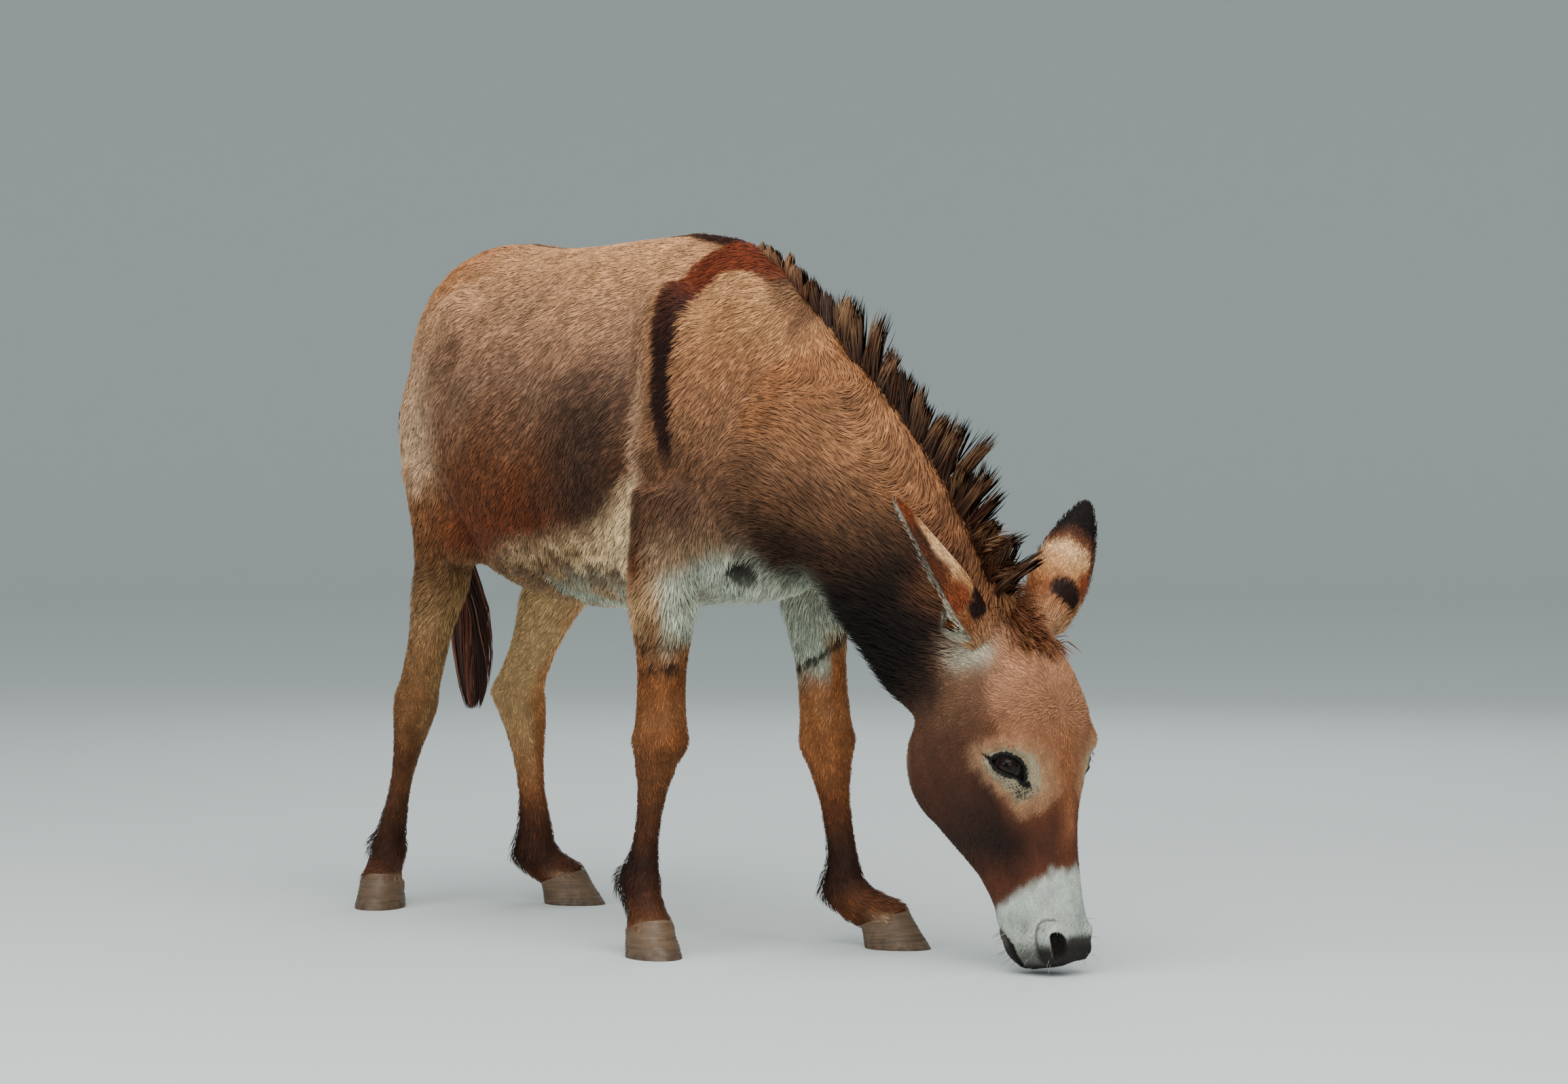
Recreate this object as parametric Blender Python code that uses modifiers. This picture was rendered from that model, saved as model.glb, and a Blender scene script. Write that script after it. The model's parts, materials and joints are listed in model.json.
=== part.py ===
"""Grazing donkey, life size, as a still model for display.

Run with: blender --background --python part.py, or from Blender's text editor.

Units are metres and +Z is up. The donkey faces -Y, so +X is its left side. Places are written
as (side, forward, up): side is positive to the donkey's left, forward is towards its head, and
up is measured from the ground that the four hooves stand on. The finished model stands with
its origin on the ground under the middle of its bounding box.

The flesh is modelled whole, from lofts and muscle shapes fused into one skin, and is then
parted with thin cuts, so that every piece meets its neighbour on a flat face.
"""

import math
from collections import namedtuple

import bmesh
import bpy
from mathutils import Matrix, Vector

# Driving sizes.
WITHERS_HEIGHT = 1.125
BARREL_HALF_WIDTH = 0.255
BELLY_HEIGHT = 0.527
HEAD_LENGTH = 0.510
EAR_LENGTH = 0.262
EYE_RADIUS = 0.022
MANE_HEIGHT = 0.074
CORONET_HEIGHT = 0.046
GAP = 0.0003  # left between two pieces that touch

# How finely the flesh is made.
RING_POINTS = 24
STEPS_BETWEEN_SLICES = 4
FLESH_VOXEL = 0.0075
SMOOTHING_ROUNDS = 9
FLESH_TRIANGLES = 3500
SHARP_ANGLE_DEG = 42.0


def place(side, forward, up):
    """A point of the model, or a direction, from its side, forward and up distances."""
    return Vector((side, -forward, up))


UP = place(0, 0, 1)


def clear_scene():
    for obj in list(bpy.data.objects):
        bpy.data.objects.remove(obj)


def new_collection(name):
    collection = bpy.data.collections.new(name)
    bpy.context.scene.collection.children.link(collection)
    return collection


def new_object(name, bm, collection):
    """An object holding what was modelled in a bmesh, which is freed."""
    mesh = bpy.data.meshes.new(name)
    bm.to_mesh(mesh)
    bm.free()
    obj = bpy.data.objects.new(name, mesh)
    collection.objects.link(obj)
    return obj


# ---------------------------------------------------------------------------
# Lofts. A slice is one cross-section: an egg with a front (or top) point, a back (or bottom)
# point and a half width. waist is where it is widest, from 0 at the back to 1 at the front.
# The two squareness values are the superellipse powers of its front and back halves: 2 is
# round, less is peaked and more is boxy.

Slice = namedtuple("Slice", "front back half_width waist square_front square_back")


def cut(front, back, half_width, waist=0.5, square_front=2.0, square_back=2.0):
    return Slice(Vector(front), Vector(back), half_width, waist, square_front, square_back)


def grown(slices, extra):
    """The slices of a seat: moved out on every side, and past both ends."""
    made = []
    for piece in slices:
        outward = (piece.front - piece.back).normalized() * extra
        made.append(
            piece._replace(
                front=piece.front + outward,
                back=piece.back - outward,
                half_width=piece.half_width + extra,
            )
        )
    for end, inner in ((0, 1), (-1, -2)):
        beyond = (slices[end].front + slices[end].back - slices[inner].front - slices[inner].back)
        step = beyond.normalized() * 2 * extra
        made[end] = made[end]._replace(front=made[end].front + step, back=made[end].back + step)
    return made


def between(values, share):
    """Catmull-Rom interpolation from the second of four values to the third."""
    a, b, c, d = values
    return b + 0.5 * share * (
        (c - a) + share * ((2 * a - 5 * b + 4 * c - d) + share * (3 * (b - c) + d - a))
    )


def smooth_slices(slices, steps):
    """The given slices with others eased in between them."""
    padded = [slices[0], *slices, slices[-1]]
    made = []
    for index in range(len(slices) - 1):
        group = padded[index : index + 4]
        for step in range(steps):
            made.append(Slice(*(between(field, step / steps) for field in zip(*group))))
    made.append(slices[-1])
    return made


def egg_point(piece, across, turn):
    """The point of a slice's outline at an angle: 90 degrees is its front, 270 its back."""
    middle = piece.back.lerp(piece.front, piece.waist)
    tall = (piece.front if math.sin(turn) >= 0 else piece.back) - middle
    power = 2 / (piece.square_front if math.sin(turn) >= 0 else piece.square_back)
    wide = math.copysign(abs(math.cos(turn)) ** power, math.cos(turn))
    high = abs(math.sin(turn)) ** power
    return middle + across * (wide * piece.half_width) + tall * high


def loft(name, slices, collection, points=RING_POINTS, steps=STEPS_BETWEEN_SLICES):
    """A closed skin through the slices, made by extruding a ring from one to the next."""
    slices = smooth_slices(slices, steps)
    middles = [piece.back.lerp(piece.front, 0.5) for piece in slices]
    bm = bmesh.new()
    turn = bm.verts.layers.float.new("turn")
    ring = bmesh.ops.create_circle(bm, cap_ends=True, segments=points, radius=1.0)["verts"]
    for vert in ring:
        vert[turn] = math.atan2(vert.co.y, vert.co.x)
    edges = list(bm.edges)
    for index, piece in enumerate(slices):
        along = middles[min(index + 1, len(slices) - 1)] - middles[max(index - 1, 0)]
        across = (piece.front - piece.back).cross(along).normalized()
        if index:
            made = bmesh.ops.extrude_edge_only(bm, edges=edges)["geom"]
            ring = {part for part in made if isinstance(part, bmesh.types.BMVert)}
            edges = [
                part
                for part in made
                if isinstance(part, bmesh.types.BMEdge) and ring.issuperset(part.verts)
            ]
        for vert in ring:
            vert.co = egg_point(piece, across, vert[turn])
    bmesh.ops.contextual_create(bm, geom=edges)
    bmesh.ops.recalc_face_normals(bm, faces=bm.faces)
    # A piece and its seat have to split each bent face along the same diagonal.
    bmesh.ops.triangulate(bm, faces=bm.faces, quad_method="FIXED", ngon_method="EAR_CLIP")
    return new_object(name, bm, collection)


def ball(name, centre, radii, collection, turn_deg=(0, 0, 0), fineness=12):
    """A sphere stretched to three radii (side, forward, up) and turned, such as a muscle."""
    bm = bmesh.new()
    bmesh.ops.create_uvsphere(bm, u_segments=2 * fineness, v_segments=fineness, radius=1.0)
    bmesh.ops.scale(bm, vec=radii, verts=bm.verts)
    turned = Matrix.Rotation(math.radians(turn_deg[2]), 4, "Z")
    turned @= Matrix.Rotation(math.radians(turn_deg[1]), 4, "Y")
    turned @= Matrix.Rotation(math.radians(turn_deg[0]), 4, "X")
    bmesh.ops.transform(bm, matrix=Matrix.Translation(centre) @ turned, verts=bm.verts)
    return new_object(name, bm, collection)


def slab(name, middle, normal, size, thickness, collection):
    """A square plate, centred on a point and standing across a direction."""
    bm = bmesh.new()
    bmesh.ops.create_cube(bm, size=1.0)
    bmesh.ops.scale(bm, vec=(size, size, thickness), verts=bm.verts)
    turned = UP.rotation_difference(normal).to_matrix().to_4x4()
    bmesh.ops.transform(bm, matrix=Matrix.Translation(middle) @ turned, verts=bm.verts)
    return new_object(name, bm, collection)


# ---------------------------------------------------------------------------
# Trunk and neck

TRUNK_SHAPE = (
    # forward, top, bottom, half width, waist, square top, square bottom
    (-0.574, 0.930, 0.790, 0.028, 0.50, 2.0, 2.0),
    (-0.552, 0.978, 0.720, 0.066, 0.52, 2.0, 2.1),
    (-0.500, 1.045, 0.660, 0.104, 0.55, 2.0, 2.2),
    (-0.400, 1.106, 0.612, 0.162, 0.58, 2.0, 2.2),
    (-0.290, 1.125, 0.568, 0.205, 0.56, 1.9, 2.2),
    (-0.160, 1.115, 0.540, 0.235, 0.50, 1.8, 2.1),
    (-0.020, 1.115, BELLY_HEIGHT, BARREL_HALF_WIDTH, 0.45, 1.8, 2.1),
    (0.110, 1.121, 0.528, 0.245, 0.45, 1.8, 2.1),
    (0.230, WITHERS_HEIGHT, 0.538, 0.215, 0.45, 1.65, 2.1),
    (0.330, 1.118, 0.546, 0.182, 0.42, 1.5, 2.2),
    (0.420, 1.096, 0.550, 0.165, 0.40, 1.5, 2.3),
    (0.495, 1.040, 0.575, 0.138, 0.42, 1.7, 2.2),
    (0.540, 0.920, 0.650, 0.080, 0.45, 2.0, 2.0),
)
TRUNK_MUSCLES = (
    # name, centre and radii (side, forward, up), pitch in degrees; each stands on both sides
    ("shoulder", (0.110, 0.370, 0.840), (0.062, 0.110, 0.215), -18),
    ("upper_arm", (0.125, 0.395, 0.680), (0.058, 0.100, 0.090), 20),
    ("elbow", (0.150, 0.310, 0.640), (0.042, 0.050, 0.070), 0),
    ("haunch", (0.103, -0.345, 0.820), (0.082, 0.132, 0.185), 12),
    ("hip_bone", (0.160, -0.215, 0.985), (0.040, 0.070, 0.058), 0),
    ("stifle", (0.150, -0.245, 0.665), (0.044, 0.058, 0.080), -15),
)
NECK_SHAPE = (
    # crest (side, forward, up), throat (side, forward, up), half width
    ((0.000, 0.360, 1.110), (0.000, 0.430, 0.590), 0.115),
    ((0.000, 0.450, 1.085), (0.004, 0.500, 0.590), 0.124),
    ((0.015, 0.540, 1.016), (0.020, 0.535, 0.590), 0.110),
    ((0.045, 0.615, 0.932), (0.045, 0.560, 0.545), 0.095),
    ((0.090, 0.690, 0.836), (0.080, 0.590, 0.488), 0.084),
    ((0.133, 0.752, 0.725), (0.115, 0.615, 0.424), 0.077),
    ((0.158, 0.795, 0.636), (0.145, 0.660, 0.365), 0.071),
    ((0.172, 0.822, 0.570), (0.165, 0.720, 0.345), 0.066),
)


def trunk(collection):
    """Rump, barrel, girth and chest, as upright slices from the buttocks forward."""
    slices = [
        cut(place(0, forward, top), place(0, forward, bottom), *rest)
        for forward, top, bottom, *rest in TRUNK_SHAPE
    ]
    loft("trunk_form", slices, collection)
    for side in (-1, 1):
        for name, (out, forward, up), radii, pitch_deg in TRUNK_MUSCLES:
            ball(name, place(side * out, forward, up), radii, collection, (pitch_deg, 0, 0))


def neck(collection):
    """From the withers down and round to the poll, each slice from crest to throat."""
    slices = [
        cut(place(*crest), place(*throat), half_width, 0.42, 1.65, 2.1)
        for crest, throat, half_width in NECK_SHAPE
    ]
    loft("neck_form", slices, collection)


# ---------------------------------------------------------------------------
# The head. Its places are (side, front, level): front is measured out from the line of the
# nose, and level runs from 0 at the poll to 1 at the lips.

EYES_ON_NOSE_LINE = place(0.225, 0.912, 0.302)
HEAD_YAW_DEG = 16.0
NOSE_SLOPE_DEG = 5.5
EYE_LEVEL = 0.43

HEAD_LEFT = place(math.cos(math.radians(HEAD_YAW_DEG)), -math.sin(math.radians(HEAD_YAW_DEG)), 0)
HEAD_AHEAD = place(math.sin(math.radians(HEAD_YAW_DEG)), math.cos(math.radians(HEAD_YAW_DEG)), 0)
FACE_DOWN = HEAD_AHEAD * math.sin(math.radians(NOSE_SLOPE_DEG)) - UP * math.cos(
    math.radians(NOSE_SLOPE_DEG)
)
FACE_FRONT = FACE_DOWN.cross(HEAD_LEFT)

HEAD_SHAPE = (
    # level, front, back, half width, waist, square front, square back
    (-0.08, -0.100, -0.170, 0.040, 0.55, 2.0, 2.0),
    (0.00, -0.056, -0.194, 0.072, 0.60, 2.0, 2.0),
    (0.10, -0.026, -0.222, 0.094, 0.66, 2.5, 2.0),
    (0.20, -0.009, -0.250, 0.107, 0.70, 2.7, 2.0),
    (0.30, 0.000, -0.270, 0.110, 0.75, 2.6, 2.1),
    (0.38, 0.000, -0.279, 0.105, 0.77, 2.2, 2.1),
    (0.46, -0.001, -0.278, 0.094, 0.75, 1.9, 2.1),
    (0.54, -0.002, -0.260, 0.076, 0.68, 1.8, 2.1),
    (0.62, -0.003, -0.226, 0.062, 0.62, 1.8, 2.0),
    (0.70, -0.003, -0.188, 0.053, 0.58, 1.9, 2.0),
    (0.78, -0.003, -0.160, 0.050, 0.55, 2.1, 2.1),
    (0.86, -0.003, -0.146, 0.053, 0.56, 2.3, 2.2),
    (0.93, -0.007, -0.138, 0.053, 0.56, 2.4, 2.2),
    (0.97, -0.018, -0.124, 0.046, 0.54, 2.3, 2.2),
    (0.995, -0.044, -0.106, 0.028, 0.52, 2.1, 2.1),
)
HEAD_MUSCLES = (
    # name, centre (side, front, level), radii (side, forward, up); each stands on both sides
    ("cheek", (0.046, -0.186, 0.38), (0.034, 0.086, 0.100)),
    ("brow", (0.082, -0.040, 0.342), (0.028, 0.032, 0.036)),
    ("facial_crest", (0.062, -0.070, 0.52), (0.018, 0.030, 0.060)),
    ("nostril", (0.033, -0.034, 0.915), (0.022, 0.030, 0.036)),
)


def head_place(side, front, level):
    """A point of the head from its own measures."""
    down = (level - EYE_LEVEL) * HEAD_LENGTH
    return EYES_ON_NOSE_LINE + HEAD_LEFT * side + FACE_FRONT * front + FACE_DOWN * down


def head(collection):
    slices = [
        cut(head_place(0, front, level), head_place(0, back, level), *rest)
        for level, front, back, *rest in HEAD_SHAPE
    ]
    loft("head_form", slices, collection)
    turned = (0, 0, HEAD_YAW_DEG)
    for side in (-1, 1):
        for name, (out, front, level), radii in HEAD_MUSCLES:
            ball(name, head_place(side * out, front, level), radii, collection, turned)
    ball("chin", head_place(0, -0.116, 0.915), (0.036, 0.024, 0.030), collection, turned)


EYE_PLACES = {
    "eye_right": head_place(-0.083, -0.050, 0.393),
    "eye_left": head_place(0.083, -0.050, 0.393),
}

# ---------------------------------------------------------------------------
# Ears: cupped leaves, held out to the sides with their openings turned outwards and back.

EAR_PLACES = {
    # base (side, front, level), lean of the ear (out, back, up)
    "ear_right": (-1, head_place(-0.062, -0.104, 0.015), (0.148, 0.030, 0.195)),
    "ear_left": (1, head_place(0.070, -0.086, -0.005), (0.182, 0.046, 0.186)),
}
EAR_SHAPE = (
    # share of the length, half width, depth of the cup
    (-0.10, 0.018, 0.034),
    (0.02, 0.027, 0.050),
    (0.18, 0.039, 0.068),
    (0.38, 0.045, 0.066),
    (0.58, 0.041, 0.050),
    (0.76, 0.032, 0.034),
    (0.90, 0.021, 0.021),
    (1.00, 0.008, 0.008),
)
EAR_WALL = 0.007
EAR_HOLLOW_FROM = 0.10  # share of the length where the cup starts


def ear_slices(name, shape, towards_opening=0.0):
    side, base, lean = EAR_PLACES[name]
    out, back, up = lean
    axis = (HEAD_LEFT * side * out - HEAD_AHEAD * back + UP * up).normalized()
    opening = HEAD_LEFT * side * 0.72 - HEAD_AHEAD * 0.62
    opening = (opening - axis * opening.dot(axis)).normalized()
    slices = []
    for share, half_width, depth in shape:
        middle = base + axis * share * EAR_LENGTH + opening * towards_opening
        half_depth = opening * depth / 2
        slices.append(cut(middle + half_depth, middle - half_depth, half_width, 0.62))
    return slices


def ear(name, parts, cutters):
    """The leaf, with a hollow leaf taken out of the side it opens on."""
    made = loft(name, ear_slices(name, EAR_SHAPE), parts, points=12, steps=2)
    hollow_shape = [
        (share, max(half_width - EAR_WALL, 0.003), max(depth, 0.010))
        for share, half_width, depth in EAR_SHAPE
        if EAR_HOLLOW_FROM < share < 1
    ]
    hollow = loft(
        name + "_hollow",
        ear_slices(name, hollow_shape, towards_opening=EAR_WALL * 1.8),
        cutters,
        points=12,
        steps=2,
    )
    take_away(made, hollow)
    return made


# ---------------------------------------------------------------------------
# Legs. Each runs through four joints and then a pastern. A leg's slices are stated along its
# bones, with how far the flesh stands before and behind the bone, and half its width.

Leg = namedtuple("Leg", "side joints toe_out_deg pastern_reach thigh")

# The joints of each are the shoulder or hip, the elbow or stifle, the knee or hock, and the fetlock.
LEGS = {
    "foreleg_right": Leg(
        side=-1,
        joints=[
            place(-0.140, 0.375, 0.720),
            place(-0.150, 0.376, 0.615),
            place(-0.155, 0.372, 0.337),
            place(-0.156, 0.320, 0.116),
        ],
        toe_out_deg=12.0,
        pastern_reach=0.034,
        thigh=1.0,
    ),
    "foreleg_left": Leg(
        side=1,
        joints=[
            place(0.138, 0.350, 0.720),
            place(0.146, 0.344, 0.615),
            place(0.158, 0.370, 0.325),
            place(0.176, 0.410, 0.086),
        ],
        toe_out_deg=28.0,
        pastern_reach=0.060,
        thigh=1.0,
    ),
    "hindleg_right": Leg(
        side=-1,
        joints=[
            place(-0.132, -0.295, 0.750),
            place(-0.138, -0.305, 0.600),
            place(-0.130, -0.434, 0.355),
            place(-0.130, -0.534, 0.094),
        ],
        toe_out_deg=42.0,
        pastern_reach=0.046,
        thigh=0.62,
    ),
    "hindleg_left": Leg(
        side=1,
        joints=[
            place(0.120, -0.285, 0.750),
            place(0.116, -0.305, 0.600),
            place(0.103, -0.484, 0.357),
            place(0.098, -0.404, 0.084),
        ],
        toe_out_deg=32.0,
        pastern_reach=0.040,
        thigh=1.0,
    ),
}

FORELEG_SHAPE = (
    # bone, share along it, front, back, half width
    (0, 0.00, 0.085, 0.085, 0.056),
    (1, 0.00, 0.068, 0.072, 0.053),
    (1, 0.30, 0.052, 0.054, 0.046),
    (1, 0.62, 0.042, 0.042, 0.037),
    (1, 0.84, 0.042, 0.042, 0.038),
    (1, 1.00, 0.044, 0.044, 0.042),
    (2, 0.16, 0.037, 0.043, 0.037),
    (2, 0.32, 0.026, 0.034, 0.026),
    (2, 0.58, 0.023, 0.031, 0.020),
    (2, 0.82, 0.024, 0.034, 0.022),
    (2, 1.00, 0.033, 0.050, 0.031),
)
HINDLEG_SHAPE = (
    (0, 0.00, 0.125, 0.140, 0.070),
    (1, 0.00, 0.080, 0.105, 0.060),
    (1, 0.35, 0.050, 0.080, 0.046),
    (1, 0.68, 0.037, 0.062, 0.034),
    (1, 0.90, 0.040, 0.060, 0.034),
    (2, 0.00, 0.047, 0.060, 0.037),
    (2, 0.14, 0.044, 0.048, 0.034),
    (2, 0.30, 0.035, 0.037, 0.026),
    (2, 0.55, 0.025, 0.032, 0.020),
    (2, 0.82, 0.026, 0.038, 0.023),
    (2, 1.00, 0.032, 0.054, 0.030),
)
PASTERN_SHAPE = (
    # share of the way to the coronet, front, back, half width
    (0.35, 0.030, 0.044, 0.029),
    (0.70, 0.031, 0.034, 0.029),
    (1.00, 0.038, 0.038, 0.036),
    (1.30, 0.040, 0.038, 0.038),
)
HOOF_SHAPE = (
    # share of the height, toe, heel, half width
    (0.00, 0.068, 0.040, 0.042),
    (0.12, 0.064, 0.040, 0.042),
    (0.50, 0.051, 0.038, 0.039),
    (1.00, 0.039, 0.037, 0.0365),
)
CORONET_SLOPE = 0.34  # how much higher the coronet is in front than behind, for its length


def toe_direction(leg):
    angle = math.radians(leg.toe_out_deg) * leg.side
    return place(math.sin(angle), math.cos(angle), 0)


def coronet_middle(leg):
    """The middle of the hoof's upper rim, below and in front of the fetlock."""
    fetlock = leg.joints[-1]
    return Vector((fetlock.x, fetlock.y, CORONET_HEIGHT)) + toe_direction(leg) * leg.pastern_reach


def leg_form(name, collection):
    leg = LEGS[name]
    toe = toe_direction(leg)
    slices = []
    for bone, share, front, back, half_width in FORELEG_SHAPE if "fore" in name else HINDLEG_SHAPE:
        middle = leg.joints[bone].lerp(leg.joints[bone + 1], share)
        # The leg's front turns from straight ahead at the top to the toe's way at the foot.
        ahead = place(0, 1, 0).lerp(toe, (bone + share) / 3).normalized()
        # The right stifle, drawn back under the belly, is slimmer than the left.
        slim = leg.thigh if bone == 1 and share < 0.5 else 1.0
        slices.append(cut(middle + ahead * front * slim, middle - ahead * back, half_width * (1 + slim) / 2))
    fetlock, coronet = leg.joints[-1], coronet_middle(leg)
    down = (coronet - fetlock).normalized()
    ahead = (toe - down * toe.dot(down)).normalized()
    for share, front, back, half_width in PASTERN_SHAPE:
        middle = fetlock.lerp(coronet, share)
        slices.append(cut(middle + ahead * front, middle - ahead * back, half_width))
    loft(name + "_form", slices, collection, points=20)


def hoof(name, leg, parts):
    """A flared hoof with a flat sole and a rim that is higher at the toe."""
    toe = toe_direction(leg)
    coronet = coronet_middle(leg)
    slices = []
    for share, front, back, half_width in HOOF_SHAPE:
        middle = Vector((coronet.x, coronet.y, coronet.z * share)) + toe * 0.010 * (1 - share)
        tilt = UP * CORONET_SLOPE * share
        slices.append(cut(middle + (toe + tilt) * front, middle - (toe + tilt) * back, half_width, 0.42))
    return loft(name, slices, parts, points=18, steps=1)


def foot_cutter(name, leg, cutters):
    """Takes the leg's flesh away below the hoof's upper rim."""
    depth = 0.10
    normal = (UP - toe_direction(leg) * CORONET_SLOPE).normalized()
    middle = coronet_middle(leg) + normal * (GAP - depth / 2)
    return slab(name, middle, normal, 0.16, depth, cutters)


# ---------------------------------------------------------------------------
# Mane and tail

MANE_SHAPE = (
    # place along the neck's slices, share of the full height, half width
    (0.70, 0.08, 0.009),
    (1.00, 0.16, 0.013),
    (2.00, 0.46, 0.018),
    (3.00, 0.86, 0.022),
    (4.00, 1.00, 0.023),
    (5.00, 0.96, 0.024),
    (6.00, 0.72, 0.026),
    (6.80, 0.62, 0.026),
)
FORELOCK_SHAPE = (
    # head place of the tips (side, front, level), head place of the roots, half width
    ((0.012, -0.030, -0.070), (0.010, -0.130, -0.040), 0.028),
    ((0.010, -0.016, 0.000), (0.008, -0.100, 0.030), 0.024),
)
MANE_ROOT = 0.012
TAIL_SHAPE = (
    # front (side, forward, up), back (side, forward, up), half width
    ((0.000, -0.530, 0.940), (0.000, -0.500, 1.020), 0.030),
    ((0.000, -0.585, 0.925), (0.000, -0.572, 0.992), 0.028),
    ((-0.008, -0.611, 0.872), (-0.008, -0.656, 0.892), 0.025),
    ((-0.020, -0.622, 0.800), (-0.020, -0.668, 0.802), 0.023),
    ((0.010, -0.620, 0.700), (0.010, -0.666, 0.700), 0.024),
    ((0.056, -0.604, 0.600), (0.056, -0.662, 0.600), 0.032),
    ((0.080, -0.588, 0.500), (0.080, -0.660, 0.500), 0.037),
    ((0.084, -0.584, 0.420), (0.084, -0.648, 0.420), 0.035),
    ((0.082, -0.590, 0.360), (0.082, -0.632, 0.360), 0.024),
    ((0.080, -0.602, 0.318), (0.080, -0.618, 0.318), 0.009),
)


def along_neck(where):
    """The crest point of the neck, and the way out of it, at a place between its slices."""
    index = min(int(where), len(NECK_SHAPE) - 2)
    share = where - index
    crest = place(*NECK_SHAPE[index][0]).lerp(place(*NECK_SHAPE[index + 1][0]), share)
    throat = place(*NECK_SHAPE[index][1]).lerp(place(*NECK_SHAPE[index + 1][1]), share)
    return crest, (crest - throat).normalized()


def mane_slices():
    slices = []
    for where, share, half_width in MANE_SHAPE:
        crest, outward = along_neck(where)
        tips = crest + outward * MANE_HEIGHT * share
        slices.append(cut(tips, crest - outward * MANE_ROOT, half_width, 0.3, 1.7, 2.0))
    for tips, roots, half_width in FORELOCK_SHAPE:
        slices.append(cut(head_place(*tips), head_place(*roots), half_width, 0.3, 1.8, 2.0))
    return slices


def tail(collection):
    slices = [cut(place(*front), place(*back), half_width) for front, back, half_width in TAIL_SHAPE]
    loft("tail_form", slices, collection, points=16)


# ---------------------------------------------------------------------------
# Fusing and parting the flesh

CutPlace = namedtuple("CutPlace", "middle normal size")


def leg_cut(name, bone, share, size):
    start, end = LEGS[name].joints[bone], LEGS[name].joints[bone + 1]
    return CutPlace(start.lerp(end, share), (end - start).normalized(), size)


def head_cut(top, bottom, size):
    """A cut across the head that runs from one of its places to another."""
    normal = (head_place(*bottom) - head_place(*top)).cross(HEAD_LEFT).normalized()
    return CutPlace(head_place(*top).lerp(head_place(*bottom), 0.5), normal, size)


THIN_CUTS = {
    "poll": head_cut((0, -0.085, -0.055), (0, -0.275, 0.225), 0.34),
    "muzzle": head_cut((0, 0.0, 0.775), (0, -0.16, 0.775), 0.26),
    "neck_base": CutPlace(place(0, 0.490, 0.850), place(0, 0.97, 0.24).normalized(), 0.80),
    "girth": CutPlace(place(0, 0.185, 0.820), place(0, 1, 0), 0.90),
    "loin": CutPlace(place(0, -0.160, 0.820), place(0, 1, 0), 0.90),
    "dock": CutPlace(place(-0.010, -0.637, 0.858), place(0, 0.25, 0.97).normalized(), 0.076),
    "switch": CutPlace(place(0.020, -0.633, 0.630), place(0, 0, 1), 0.14),
    "foreleg_right_top": CutPlace(place(-0.152, 0.375, 0.512), UP, 0.20),
    "foreleg_left_top": CutPlace(place(0.150, 0.350, 0.512), UP, 0.20),
    "hindleg_right_top": CutPlace(place(-0.135, -0.350, 0.500), UP, 0.24),
    "hindleg_left_top": CutPlace(place(0.110, -0.370, 0.500), UP, 0.20),
    "cannon_front_right": leg_cut("foreleg_right", 2, 0.26, 0.15),
    "cannon_front_left": leg_cut("foreleg_left", 2, 0.26, 0.15),
    "cannon_rear_right": leg_cut("hindleg_right", 2, 0.24, 0.15),
    "cannon_rear_left": leg_cut("hindleg_left", 2, 0.24, 0.15),
    "fetlock_front_right": leg_cut("foreleg_right", 2, 0.90, 0.13),
    "fetlock_front_left": leg_cut("foreleg_left", 2, 0.90, 0.13),
    "fetlock_rear_right": leg_cut("hindleg_right", 2, 0.90, 0.13),
    "fetlock_rear_left": leg_cut("hindleg_left", 2, 0.90, 0.13),
}

Look = namedtuple("Look", "colour roughness")
TAN = Look((0.30, 0.17, 0.10), 0.85)
BROWN = Look((0.16, 0.08, 0.045), 0.85)
PALE = Look((0.55, 0.52, 0.46), 0.80)
HORN = Look((0.20, 0.14, 0.09), 0.45)
DARK_HAIR = Look((0.025, 0.016, 0.012), 0.70)
EYE_LOOK = Look((0.010, 0.006, 0.004), 0.06)

# A point inside each piece of flesh, by which it is known once the flesh is parted.
FLESH_PIECES = {
    "head": (head_place(0, -0.13, 0.35), BROWN),
    "muzzle": (head_place(0, -0.07, 0.90), PALE),
    "neck": (place(0.080, 0.640, 0.700), TAN),
    "forequarters": (place(0, 0.330, 0.820), TAN),
    "barrel": (place(0, 0.010, 0.820), TAN),
    "hindquarters": (place(0, -0.340, 0.850), TAN),
    "tail_dock": (place(-0.015, -0.640, 0.780), BROWN),
    "tail_switch": (place(0.065, -0.625, 0.480), DARK_HAIR),
}
for leg_name, kind, end in (
    ("foreleg_right", "forearm", "front_right"),
    ("foreleg_left", "forearm", "front_left"),
    ("hindleg_right", "gaskin", "rear_right"),
    ("hindleg_left", "gaskin", "rear_left"),
):
    stops = LEGS[leg_name].joints
    upper = stops[1].lerp(stops[2], 0.65 if kind == "forearm" else 0.75)
    FLESH_PIECES[f"{kind}_{end}"] = (upper, BROWN)
    FLESH_PIECES[f"cannon_{end}"] = (stops[2].lerp(stops[3], 0.57), BROWN)
    FLESH_PIECES[f"pastern_{end}"] = (stops[3].lerp(coronet_middle(LEGS[leg_name]), 0.4), BROWN)


def made_mesh(obj):
    """The object's mesh with its modifiers carried out."""
    graph = bpy.context.evaluated_depsgraph_get()
    mesh = bpy.data.meshes.new_from_object(obj.evaluated_get(graph))
    obj.modifiers.clear()
    return mesh


def take_away(obj, cutter):
    """Cuts one closed shape out of another."""
    modifier = obj.modifiers.new("cut " + cutter.name, "BOOLEAN")
    modifier.operation = "DIFFERENCE"
    modifier.solver = "EXACT"
    modifier.object = cutter
    obj.data = made_mesh(obj)


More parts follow.
